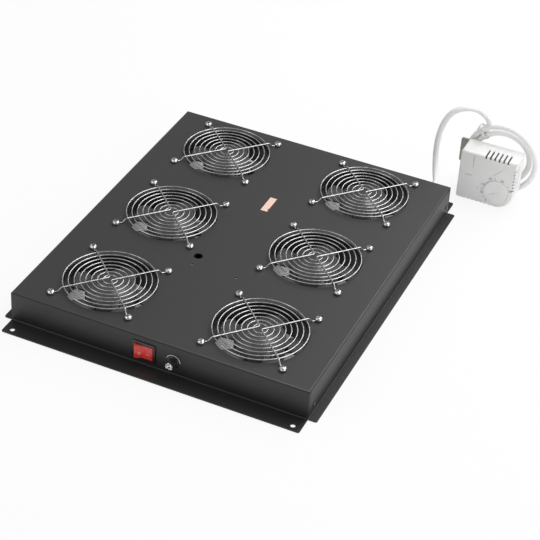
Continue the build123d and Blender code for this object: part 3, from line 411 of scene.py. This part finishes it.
def tray_coat():
    """Dark powder coat with a fine texture, with painted highlights along its top edge and at the
    walls' foot, painted shade just under the top edge, and walls painted darker towards their
    foot.
    """
    coat = Finish("tray_powder_coat")
    cloud = coat.noise(9.0, 3.0, 0.6)
    grain = coat.noise(1500.0, 2.0, 0.6)
    speck = coat.cells(900.0)
    _, _, height = coat.axes()
    # Painted highlight along the top edge, painted shade in a line just under it, and a painted
    # highlight along the walls' foot
    painted_edge_highlight = height.band(*EDGE_HIGHLIGHT_LINE)
    below = height.band(*SHADE_LINE)
    foot = height.band(*FOOT_HIGHLIGHT_LINE)
    # Walls painted darker towards their foot as painted shade; the ramp is lifted again at the
    # flange's height
    painted_wall_shade = height.ramp(*WALL_SHADE_RISE) * 0.62 + 0.38
    flat = 1 - height.ramp(*FLANGE_TOP)
    painted_wall_shade = painted_wall_shade.combine("MAXIMUM", painted_wall_shade, flat)
    painted_light_tone = painted_wall_shade * (1 - below * 0.85) + painted_edge_highlight * 1.2 + foot * 1.6
    shade = cloud * 0.25 + grain * 0.35 + 0.2
    bare = coat.blend(shade, grey(0.019, 0.01), grey(0.032, 0.02))
    coat.set(
        Base_Color=coat.node(
            "ShaderNodeVectorMath", {"operation": "SCALE"}, {0: bare, "Scale": painted_light_tone}
        ),
        Roughness=0.40 + grain * 0.16,
    )
    coat.bump(grain * 0.7 + speck * 0.5, 0.05, 0.55)
    return coat.material


def moulded(name, dark, light, low_rough, high_rough, relief=0.02, scale=900.0):
    """Moulded plastic with a faint grain."""
    plastic = Finish(name)
    cloud = plastic.noise(30.0, 3.0, 0.6)
    grain = plastic.noise(scale, 2.0, 0.6)
    plastic.set(
        Base_Color=plastic.blend(cloud * 0.7 + grain * 0.3, dark, light),
        Roughness=low_rough + (high_rough - low_rough) * grain,
    )
    plastic.bump(grain, relief, 0.4)
    return plastic.material


def plated(name, dark, light, low_rough, high_rough, scale=160.0):
    """Bright plated metal with slight variations."""
    metal = Finish(name)
    cloud = metal.noise(scale, 3.0, 0.6)
    metal.set(
        Metallic=1.0,
        Base_Color=metal.blend(cloud.ramp(0.34, 0.64), dark, light),
        Roughness=low_rough + (high_rough - low_rough) * cloud,
    )
    metal.bump(metal.noise(scale * 6, 2.0), 0.01, 0.3)
    return metal.material


def cord_cover():
    """White vinyl sheath."""
    sheath = Finish("cord_vinyl")
    cloud = sheath.noise(40.0, 3.0, 0.6)
    grain = sheath.noise(700.0, 2.0)
    sheath.set(
        Base_Color=sheath.blend(cloud, grey(0.84, 0.004), grey(0.89, 0.002)),
        Roughness=0.38 + grain * 0.15,
    )
    sheath.bump(grain * 0.6 + cloud, 0.05, 0.4)
    return sheath.material


def rocker_red():
    """Glossy red moulding with a light coat, for a translucent, a little milky plastic, drawn
    opaque.
    """
    red = Finish("rocker_red_plastic")
    cloud = red.noise(220.0, 3.0, 0.6)
    red.set(
        Base_Color=red.blend(cloud, (0.50, 0.020, 0.016), (0.72, 0.045, 0.035)),
        Roughness=0.22 + cloud * 0.12,
        Coat_Weight=0.3,
    )
    return red.material


def sheet_zinc():
    """Dull zinc-plated sheet."""
    zinc = Finish("zinc_sheet")
    cloud = zinc.noise(60.0, 4.0, 0.65)
    streak = zinc.noise(90.0, 3.0, 0.6, stretch=(1.0, 1.0, 14.0))
    zinc.set(
        Metallic=0.55,
        Base_Color=zinc.blend(cloud * 0.6 + streak * 0.4, (0.36, 0.34, 0.29), (0.50, 0.48, 0.42)),
        Roughness=0.34 + streak * 0.25,
    )
    zinc.bump(streak, 0.02, 0.5)
    return zinc.material


def clear_tube():
    """Glass of the fuse link."""
    glass = Finish("fuse_glass")
    glass.set(Base_Color=(0.85, 0.90, 0.89), Roughness=0.05, Transmission_Weight=0.8, IOR=1.47)
    return glass.material


coat = tray_coat()
fan_black = moulded("fan_black_plastic", grey(0.006), grey(0.011), 0.26, 0.42)
# The same black plastic as the fan frames, its colour lifted to grey as painted sheen on the
# blades
painted_sheen_blade = moulded("blade_plastic_painted_sheen", grey(0.078), grey(0.112), 0.26, 0.42)
black_gloss = moulded("panel_black_plastic", grey(0.008), grey(0.016), 0.16, 0.30)
inlet_black = moulded("inlet_black_plastic", grey(0.010), grey(0.020), 0.35, 0.5)
gland_grey = moulded("gland_nylon", grey(0.035), grey(0.055), 0.35, 0.5)
white_case = moulded(
    "thermostat_case", grey(0.79, 0.006), grey(0.84, 0.004), 0.42, 0.58, 0.03, 1300.0
)
nylon = moulded("natural_nylon", grey(0.68, 0.02), grey(0.78, 0.01), 0.3, 0.45)
block_nylon = moulded("block_nylon", (0.55, 0.52, 0.44), (0.66, 0.63, 0.55), 0.35, 0.5)
rivet_coat = moulded("rivet_coat", grey(0.022), grey(0.040), 0.30, 0.45)
wire_vinyl = moulded("wire_vinyl", grey(0.014), grey(0.024), 0.35, 0.5)
guard_plate = plated("guard_nickel", grey(0.40, 0.01), grey(0.60, 0.005), 0.18, 0.30)
screw_plate = plated("screw_zinc", grey(0.30, 0.01), grey(0.92, 0.005), 0.10, 0.24, 420.0)
rotor_steel = plated("rotor_steel", grey(0.36, 0.01), grey(0.48, 0.01), 0.30, 0.45)
stator_iron = plated("stator_iron", (0.20, 0.12, 0.07), (0.32, 0.20, 0.12), 0.40, 0.6)
brass = plated("terminal_brass", (0.55, 0.42, 0.18), (0.72, 0.58, 0.30), 0.22, 0.38)
mark_paint = moulded("mark_paint", (0.80, 0.52, 0.30), (0.88, 0.62, 0.40), 0.35, 0.5)
cap_metal = plated("cap_end_metal", grey(0.05, 0.01), grey(0.90, 0.005), 0.12, 0.30, 380.0)
ink = moulded("scale_ink", grey(0.10), grey(0.16), 0.5, 0.7)
label_paper = moulded("label_paper", (0.74, 0.50, 0.41), (0.84, 0.60, 0.50), 0.55, 0.75)
sheath = cord_cover()
red_plastic = rocker_red()
zinc = sheet_zinc()
fuse_glass = clear_tube()

slot_material = {
    "tray_coat": coat,
    "rivet_metal": rivet_coat,
    "fan_plastic": fan_black,
    "rotor_steel": rotor_steel,
    "stator_steel": stator_iron,
    "bearing_steel": rotor_steel,
    "guard_plating": guard_plate,
    "screw_plating": screw_plate,
    "washer_plating": guard_plate,
    "black_gloss": black_gloss,
    "rocker_red": red_plastic,
    "inlet_plastic": inlet_black,
    "terminal_brass": brass,
    "fuse_glass": fuse_glass,
    "gland_plastic": gland_grey,
    "cord_white": sheath,
    "tie_plastic": nylon,
    "thermostat_white": white_case,
    "plate_zinc": zinc,
    "block_plastic": block_nylon,
    "wire_cover": wire_vinyl,
}
node_slot = {entry["node"]: entry["material_slot"] for entry in frame["record"]["subparts"]}
for node, shown in nodes.items():
    shown.data.materials.clear()
    shown.data.materials.append(slot_material[node_slot[node]])

cord_curve.materials.append(sheath)
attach(cord, "tray")
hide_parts("thermostat_cord", "cord_coil", "thermostat_lead")


# Making pieces, their sizes in millimetres

def torus(name, centre, ring, thickness, around, across):
    """A round ring."""
    deselect()
    bpy.ops.mesh.primitive_torus_add(
        location=Vector(centre) * MM,
        major_radius=ring * MM,
        minor_radius=thickness * MM,
        major_segments=around,
        minor_segments=across,
    )
    return added(name)


def cylinder(name, centre, radius, height, sides=32):
    """A round bar that stands upright."""
    deselect()
    bpy.ops.mesh.primitive_cylinder_add(
        vertices=sides, radius=radius * MM, depth=height * MM, location=Vector(centre) * MM
    )
    return settle(added(name))


def block(name, centre, size, turned=(0.0, 0.0, 0.0)):
    """A block, turned about its centre."""
    deselect()
    bpy.ops.mesh.primitive_cube_add(size=1.0, location=Vector(centre) * MM, rotation=turned)
    piece = added(name)
    piece.scale = Vector(size) * MM
    return settle(piece)


def stepped(name, stations, sides=48):
    """A turned shape that stands along +Z: its radius and height at each step."""
    radius, height = stations[0]
    deselect()
    bpy.ops.mesh.primitive_circle_add(
        vertices=sides, radius=radius * MM, location=(0, 0, height * MM), fill_type="NGON"
    )
    shape = settle(added(name))
    pick(shape)
    bpy.ops.object.mode_set(mode="EDIT")
    bpy.ops.mesh.select_all(action="SELECT")
    for wider, higher in stations[1:]:
        bpy.ops.mesh.extrude_region_move(
            TRANSFORM_OT_translate={"value": (0, 0, (higher - height) * MM)}
        )
        share = wider / radius
        bpy.ops.transform.resize(
            value=(share, share, 1), center_override=(0, 0, higher * MM)
        )
        radius, height = wider, higher
    bpy.ops.object.mode_set(mode="OBJECT")
    return tidy_mesh(shape)


def to_front(piece, x, y, z):
    """Turn a piece that stands along +Z to the front, from this place."""
    spot = Matrix.Translation(Vector((x, y, z)) * MM)
    piece.data.transform(spot @ Matrix.Rotation(pi / 2, 4, "X"))
    return piece


def wire(name, points, radius, bends):
    """A round wire along straight runs, each corner rounded over its own length."""
    route = [Vector(point) for point in points]
    eased = [route[0]]
    for before, corner, after, bend in zip(route, route[1:], route[2:], bends):
        arriving = (before - corner).normalized()
        leaving = (after - corner).normalized()
        eased += [corner + arriving * bend, corner, corner + leaving * bend]
    eased.append(route[-1])
    curve = bpy.data.curves.new(name, "CURVE")
    curve.dimensions = "3D"
    curve.bevel_depth = radius * MM
    curve.bevel_resolution = 3
    curve.resolution_u = 5
    curve.use_fill_caps = True
    spline = curve.splines.new("NURBS")
    spline.points.add(len(eased) - 1)
    for point, at in zip(spline.points, eased):
        point.co = (*(at * MM), 1.0)
    spline.order_u = 3
    spline.use_endpoint_u = True
    holder = bpy.data.objects.new(name, curve)
    bpy.context.scene.collection.objects.link(holder)
    pick(holder)
    bpy.ops.object.convert(target="MESH")
    return tidy_mesh(bpy.context.object)


def cut(piece, *tools):
    """Take the tools' shapes out of the piece, then remove the tools."""
    for tool in tools:
        pick(piece)
        modifier = piece.modifiers.new("Cut", "BOOLEAN")
        modifier.operation = "DIFFERENCE"
        modifier.solver = "EXACT"
        modifier.object = tool
        bpy.ops.object.modifier_apply(modifier=modifier.name)
        bpy.data.objects.remove(tool)
    return piece


def lettering(name, words, height, centre, outward, upward=(0, 0, 1), depth=0.2):
    """Words as thin solid letters, centred on a place, half of their depth in the surface."""
    deselect()
    bpy.ops.object.text_add()
    text = bpy.context.object.data
    text.body = words
    text.size = height / 0.7 * MM
    text.align_x = "CENTER"
    text.align_y = "CENTER"
    text.extrude = depth / 2 * MM
    text.resolution_u = 3
    bpy.ops.object.convert(target="MESH")
    piece = added(name)
    out = Vector(outward).normalized()
    up = Vector(upward)
    up = (up - out * out.dot(up)).normalized()
    facing = Matrix((up.cross(out), up, out)).transposed().to_4x4()
    piece.data.transform(Matrix.Translation(Vector(centre) * MM) @ facing)
    return tidy_mesh(piece)


def surface_at(piece, start, direction):
    """Where a ray meets a piece, in millimetres, and the way the surface looks there."""
    _, spot, outward, _ = piece.ray_cast(Vector(start) * MM, Vector(direction))
    return spot / MM, outward


def select_faces(piece, wanted):
    """Enter edit mode with the faces selected that the test wants."""
    pick(piece)
    bpy.ops.object.mode_set(mode="EDIT")
    bpy.ops.mesh.select_mode(type="FACE")
    bpy.ops.mesh.select_all(action="DESELECT")
    bpy.ops.object.mode_set(mode="OBJECT")
    for face in piece.data.polygons:
        face.select = wanted(face)
    bpy.ops.object.mode_set(mode="EDIT")


def smooth_copy(node, angle=30, edge=0.0, finish=None):
    """Stand a smooth copy in a solid's place, its sharp edges rounded by so many millimetres."""
    piece = merged_node(node, "smooth_" + node, angle)
    if edge:
        soften(piece, edge)
        smooth(piece, angle)
    slot = node_slot[node]
    return place(piece, body_of[node], slot, finish or slot_material[slot], node)


bodies = frame["record"]["behaviour"]["bodies"]
body_of = {node: body for body, held in bodies.items() for node in held}


# Fans

for number in FAN_NUMBERS:
    smooth_copy(f"fan_frame_{number}")
    smooth_copy(f"fan_rotor_{number}")
    # The impellers take the black plastic with its painted sheen
    smooth_copy(f"impeller_{number}", 40, finish=painted_sheen_blade)


# Wire guards, their rings carried by two bent wires

RING_COUNT = 8
RING_Z = 47.5
RING_RADIUS = 57.8
RING_PITCH = 7.0
RING_WIRE = 0.8
ARM_WIRE = 0.85
ARM_Z = 49.0
FOOT_Z = 43.88
EYELET_RADIUS = 3.3
# Distance from the fan's axis and height of an arm's foot, heel and knee
ARM_PROFILE = ((71.2, FOOT_Z), (65.5, FOOT_Z), (61.0, ARM_Z))
# Where an arm turns back, beside the fan's axis
APEX_X, APEX_Y = 1.9, -2.4
KNEE_BEND, APEX_BEND = 3.0, 6.0


def wire_guard():
    """Eight rings on two wires, whose ends are eyelets round the screws."""
    parts = [
        torus("ring", (0, 0, RING_Z), RING_RADIUS - RING_PITCH * k, RING_WIRE, 96 - 8 * k, 10)
        for k in range(RING_COUNT)
    ]
    outer = [(reach * sqrt(0.5), height) for reach, height in ARM_PROFILE]
    for side in (-1, 1):
        route = [(side * across, across, height) for across, height in outer]
        route.append((side * APEX_X, side * APEX_Y, ARM_Z))
        route += [(side * across, -across, height) for across, height in reversed(outer)]
        bends = (KNEE_BEND, KNEE_BEND, APEX_BEND, KNEE_BEND, KNEE_BEND)
        parts.append(wire("arm", route, ARM_WIRE, bends))
        for end in (-1, 1):
            spot = (side * SCREW_REACH, end * SCREW_REACH, FOOT_Z)
            parts.append(torus("eyelet", spot, EYELET_RADIUS, ARM_WIRE, 28, 8))
    return smooth(joined("guard", parts), 60)


SCREW_SEAT = 44.7
HEAD_RADIUS, HEAD_HEIGHT = 4.8, 3.5
SHANK_RADIUS, SHANK_LENGTH = 1.95, 13.0
SCREW_CORNERS = ((-1, -1), (1, -1), (-1, 1), (1, 1))
# Each screw stands turned by so many radians more than the last
SCREW_TURN = 0.7


def pan_head(name, seat, radius, height, shank, shank_radius):
    """A domed screw on its seat, with a cross recess and its shank below."""
    head = cylinder(name, (0, 0, seat + height / 2), radius, height)
    select_faces(head, lambda face: face.normal.z > 0.9)
    bpy.ops.mesh.bevel(offset=height * 0.92 * MM, segments=7, affect="EDGES")
    bpy.ops.object.mode_set(mode="OBJECT")
    top = seat + height
    cut(
        head,
        block("slot", (0, 0, top), (radius * 1.15, radius * 0.24, height * 0.9)),
        block("slot", (0, 0, top), (radius * 0.24, radius * 1.15, height * 0.9)),
    )
    body = cylinder("shank", (0, 0, seat - shank / 2), shank_radius, shank, 16)
    return smooth(joined(name, [head, body]), 32)


model_guard = wire_guard()
model_screw = pan_head(
    "guard_screw", SCREW_SEAT, HEAD_RADIUS, HEAD_HEIGHT, SHANK_LENGTH, SHANK_RADIUS
)
screws = []
for number, (x, y) in zip(FAN_NUMBERS, FAN_CENTRES):
    piece = copied(model_guard, f"wire_guard_{number}", (x, y, 0))
    place(piece, "tray", "guard_plating", guard_plate, f"fan_guard_{number}")
    for k, (right, back) in enumerate(SCREW_CORNERS):
        turned = model_screw.data.copy()
        turned.transform(Matrix.Rotation(SCREW_TURN * (4 * number + k), 4, "Z"))
        twin = bpy.data.objects.new("screw", turned)
        bpy.context.scene.collection.objects.link(twin)
        twin.data.transform(
            Matrix.Translation(Vector((x + right * SCREW_REACH, y + back * SCREW_REACH, 0)) * MM)
        )
        screws.append(twin)
bpy.data.objects.remove(model_guard)
bpy.data.objects.remove(model_screw)
place(joined("guard_screw_set", screws), "tray", "screw_plating", screw_plate, "guard_screws")


# Rocker switch with its two marks

for node in ("switch_body", "power_inlet"):
    smooth_copy(node, 30, 0.5)
rocker = smooth_copy("switch_rocker", 30, 0.35)
bpy.context.view_layer.update()
SWITCH_X, MARK_Z = -15.8, 19.4
IN_FRONT_Y = -280
# Name, words, height and distance from the rocker's middle
MARKS = (("mark_off", "O", 3.6, -4.4), ("mark_on", "–", 6.0, 5.9))
marks = []
for name, words, height, reach in MARKS:
    spot, outward = surface_at(rocker, (SWITCH_X + reach, IN_FRONT_Y, MARK_Z), (0, 1, 0))
    marks.append(lettering(name, words, height, spot, outward))
place(joined("rocker_marks", marks), "rocker", "rocker_red", mark_paint)


# Fuse holder: washer, stepped collar and the ribbed cap with its bright end

FUSE_X, FUSE_Z = 22.8, 20.5
WASHER_Y, CAP_Y = -238.0, -240.7
FLUTE_COUNT, FLUTE_REACH = 18, 5.35
smooth_copy("fuse_holder", 30, 0.2)
washer = stepped(
    "washer", [(9.2, 0.0), (9.5, 0.12), (9.5, 0.6), (9.2, 0.75), (6.4, 0.75), (6.4, 0.0)]
)
collar = stepped(
    "collar",
    [
        (5.5, 0.1), (8.9, 0.1), (8.9, 0.9), (8.6, 1.15), (7.7, 1.2), (7.6, 2.0), (7.3, 2.2),
        (6.7, 2.2), (6.6, 2.9), (6.4, 3.1), (5.5, 3.1),
    ],
)
cap = stepped(
    "cap",
    [
        (4.0, -5.95), (4.0, 0.0), (5.1, 0.0), (5.2, 0.2), (5.2, 1.6), (4.7, 1.9), (4.7, 2.5),
        (5.2, 2.8), (5.2, 4.4), (4.8, 4.7), (4.8, 5.3), (5.2, 5.6), (5.2, 7.6), (5.0, 7.8),
    ],
)
flutes = [
    block("flute", (FLUTE_REACH * cos(a), FLUTE_REACH * sin(a), 3.8), (0.5, 0.5, 7.0), (0, 0, a))
    for a in [2 * pi * k / FLUTE_COUNT for k in range(FLUTE_COUNT)]
]
cut(cap, joined("flutes", flutes))
cap_end = stepped("cap_end", [(4.9, 7.6), (5.0, 7.8), (5.0, 8.4), (4.6, 8.85), (3.2, 9.0)])
cut(
    cap_end,
    block("slot", (0, 0, 9.0), (6.8, 1.3, 2.0)),
    stepped("dimple", [(1.2, 8.2), (1.5, 9.4)], 24),
)
for piece, y, body, slot, material, stands_for in (
    (washer, WASHER_Y, "tray", "washer_plating", guard_plate, ["fuse_washer"]),
    (collar, WASHER_Y, "tray", "black_gloss", black_gloss, []),
    (cap, CAP_Y, "fuse_turn", "black_gloss", black_gloss, ["fuse_cap"]),
    (cap_end, CAP_Y, "fuse_turn", "washer_plating", cap_metal, []),
):
    place(smooth(to_front(piece, FUSE_X, y, FUSE_Z)), body, slot, material, *stands_for)


# Thermostat: grooves in its case, its dial and the scale round it

FRONT_Y = 283.6
DIAL_X, DIAL_Z = 246.0, 24.0
SCALE_RADIUS, TICK_RADIUS = 20.5, 20.0
NUMBER_HEIGHT = 3.4
SCALE_NUMBERS = (("5", -126), ("10", -163), ("15", 161), ("20", 118), ("25", 70), ("30", 19))
SCALE_TICKS = (98, 40, -179, -142)
case = smooth_copy("thermostat_cover", 30)
cut(
    case,
    block("groove", (210.2, FRONT_Y, 62.6), (0.9, 2.4, 18.0)),
    block("groove", (204.0, FRONT_Y, 39.5), (10.0, 2.4, 1.0)),
    block("groove", (245.9, FRONT_Y, 55.3), (17.8, 1.2, 0.6), (0, -radians(46.4), 0)),
    block("dot", (219.9, FRONT_Y, 23.6), (1.6, 3.0, 1.6)),
)
smooth_copy("thermostat_dial", 30, 0.15)


def round_dial(reach, angle):
    """A place on the case's front, so far from the dial's middle and at this angle."""
    return (DIAL_X + reach * cos(angle), FRONT_Y, DIAL_Z + reach * sin(angle))


scale = []
for words, angle in SCALE_NUMBERS:
    spot = round_dial(SCALE_RADIUS, radians(angle))
    scale.append(lettering("number", words, NUMBER_HEIGHT, spot, (0, -1, 0)))
for angle in SCALE_TICKS:
    spot = round_dial(TICK_RADIUS, radians(angle))
    scale.append(block("tick", spot, (2.6, 0.2, 0.45), (0, -radians(angle), 0)))
place(joined("dial_scale", scale), "tray", "thermostat_white", ink)


# Tie round the cord where the coil begins

TIE_ANGLE = radians(132.0)
TIE_REACH, TIE_Y = 44.1, 326.4


def cord_tie():
    """A slim strap round the passes of the cord, with its small head."""
    strap = block("strap", (0, 0, 0), (19.4, 15.6, 3.4))
    select_faces(strap, lambda face: abs(face.normal.z) > 0.9)
    bpy.ops.mesh.delete(type="ONLY_FACE")
    bpy.ops.mesh.select_mode(type="EDGE")
    bpy.ops.mesh.select_all(action="DESELECT")
    bpy.ops.object.mode_set(mode="OBJECT")
    for edge in strap.data.edges:
        ends = [strap.data.vertices[v].co for v in edge.vertices]
        edge.select = abs(ends[0].z - ends[1].z) > 0.001
    bpy.ops.object.mode_set(mode="EDIT")
    bpy.ops.mesh.bevel(offset=4.8 * MM, segments=6, affect="EDGES")
    bpy.ops.object.mode_set(mode="OBJECT")
    pick(strap)
    walls = strap.modifiers.new("Walls", "SOLIDIFY")
    walls.thickness = 0.9 * MM
    walls.offset = 1.0
    bpy.ops.object.modifier_apply(modifier=walls.name)
    head = soften(block("head", (8.6, -6.4, 0), (3.6, 3.8, 4.8)), 0.7, 2)
    return smooth(joined("cord_tie", [tidy_mesh(strap), head]), 40)


tie = cord_tie()
outward = Vector((cos(TIE_ANGLE), 0, sin(TIE_ANGLE)))
depthward = Vector((0, 1, 0))
along = outward.cross(depthward)
tie_turn = Matrix((outward, depthward, along)).transposed().to_4x4()
tie_spot = Vector((COIL_X, TIE_Y, COIL_Z)) + outward * TIE_REACH
tie.data.transform(Matrix.Translation(tie_spot * MM) @ tie_turn)
place(tie, "tray", "tie_plastic", nylon, "cable_tie")


# Bare paper label on the top plate

LABEL_Z = TOP + 0.04
label = block("label", (-0.35, 81.75, LABEL_Z), (9.3, 32.3, 0.12))
cut(label, block("notch", (4.0, 71.5, LABEL_Z), (2.4, 2.0, 1.0)))
place(label, "tray", "thermostat_white", label_paper)


# The other solids, smoothly shaded

tray = smooth_copy("tray_housing", 30)
pick(tray)
even = tray.modifiers.new("Even", "WEIGHTED_NORMAL")
even.keep_sharp = True
bpy.ops.object.modifier_apply(modifier=even.name)
PLATE_EDGE = 0.25
for node in (
    "corner_rivets", "cord_gland", "gland_locknut", "fuse_nut", "guard_nuts", "inlet_screws",
    "inlet_nuts", "inlet_pins", "plate_screws", "thermostat_base", "thermostat_plate",
    "terminal_block", "block_screws", "cable_clips", "wiring", "fan_stators", "fan_bearings",
):
    smooth_copy(node, 30, PLATE_EDGE if node == "thermostat_plate" else 0.0)


# Floor, world and lamps

FLOOR_Z = -0.0006
# Half the width and depth of the tray, in metres, under which the floor is left dimmer
TRAY_REACH_X, TRAY_REACH_Y = 0.196, 0.238


def white_floor():
    """White for the camera and in reflections, with the object's soft shadow."""
    ground = Finish("floor_white")
    tree = ground.tree
    rays = tree.nodes.new("ShaderNodeLightPath")
    seen = [Value(ground, rays.outputs[name]) for name in ("Is Camera Ray", "Is Glossy Ray")]
    through = Value(ground, rays.outputs["Is Transmission Ray"])
    across, deep, _ = ground.axes()
    edge = abs(across) / TRAY_REACH_X
    edge = edge.combine("MAXIMUM", edge, abs(deep) / TRAY_REACH_Y)
    share = (seen[0] + seen[1] + through) * (0.16 + edge.ramp(0.90, 1.0) * 0.70)
    glow = ground.node("ShaderNodeEmission", {}, {"Color": (1.0, 1.0, 1.0), "Strength": 1.0})
    ground.set(Base_Color=grey(0.80), Roughness=0.9)
    mixed = ground.node(
        "ShaderNodeMixShader",
        {},
        {0: share, 1: Value(ground, ground.shader.outputs[0]), 2: glow},
    )
    tree.links.new(mixed.socket, tree.nodes["Material Output"].inputs["Surface"])
    return ground.material


deselect()
bpy.ops.mesh.primitive_plane_add(size=14.0, location=(0.0, 0.0, FLOOR_Z))
floor = added("floor")
settle(floor)
floor.data.materials.append(white_floor())

world = bpy.data.worlds.new("World")
bpy.context.scene.world = world
world.use_nodes = True
sky = world.node_tree
sky_back = sky.nodes["Background"]
paths = sky.nodes.new("ShaderNodeLightPath")
plain = sky.nodes.new("ShaderNodeBackground")
plain.inputs["Color"].default_value = (1.0, 1.0, 1.0, 1.0)
plain.inputs["Strength"].default_value = 1.0
sky_back.inputs["Color"].default_value = (1.0, 1.0, 1.0, 1.0)
sky_back.inputs["Strength"].default_value = 0.44
sky_mix = sky.nodes.new("ShaderNodeMixShader")
sky.links.new(paths.outputs["Is Camera Ray"], sky_mix.inputs[0])
sky.links.new(sky_back.outputs[0], sky_mix.inputs[1])
sky.links.new(plain.outputs[0], sky_mix.inputs[2])
sky.links.new(sky_mix.outputs[0], sky.nodes["World Output"].inputs["Surface"])


def lamp(name, place_m, target, width, height, power):
    """A soft square lamp that faces its target."""
    light = bpy.data.lights.new(name, "AREA")
    light.shape = "RECTANGLE"
    light.size = width
    light.size_y = height
    light.energy = power
    holder = bpy.data.objects.new(name, light)
    bpy.context.scene.collection.objects.link(holder)
    holder.location = place_m
    facing = Vector(target) - Vector(place_m)
    holder.rotation_mode = "QUATERNION"
    holder.rotation_quaternion = facing.to_track_quat("-Z", "Y")


lamp("key", (1.0, 1.0, 2.4), (0.05, 0.0, 0.0), 2.0, 2.0, 46.0)
lamp("back", (0.45, 1.9, 1.45), (0.2, 0.0, 0.0), 1.1, 0.9, 12.0)
lamp("fill", (-1.6, -1.8, 1.6), (0.0, 0.0, 0.0), 1.8, 1.8, 15.0)
lamp("side", (2.4, -0.6, 0.9), (0.0, 0.0, 0.0), 1.6, 1.6, 17.0)

bpy.context.scene.view_settings.view_transform = "Standard"
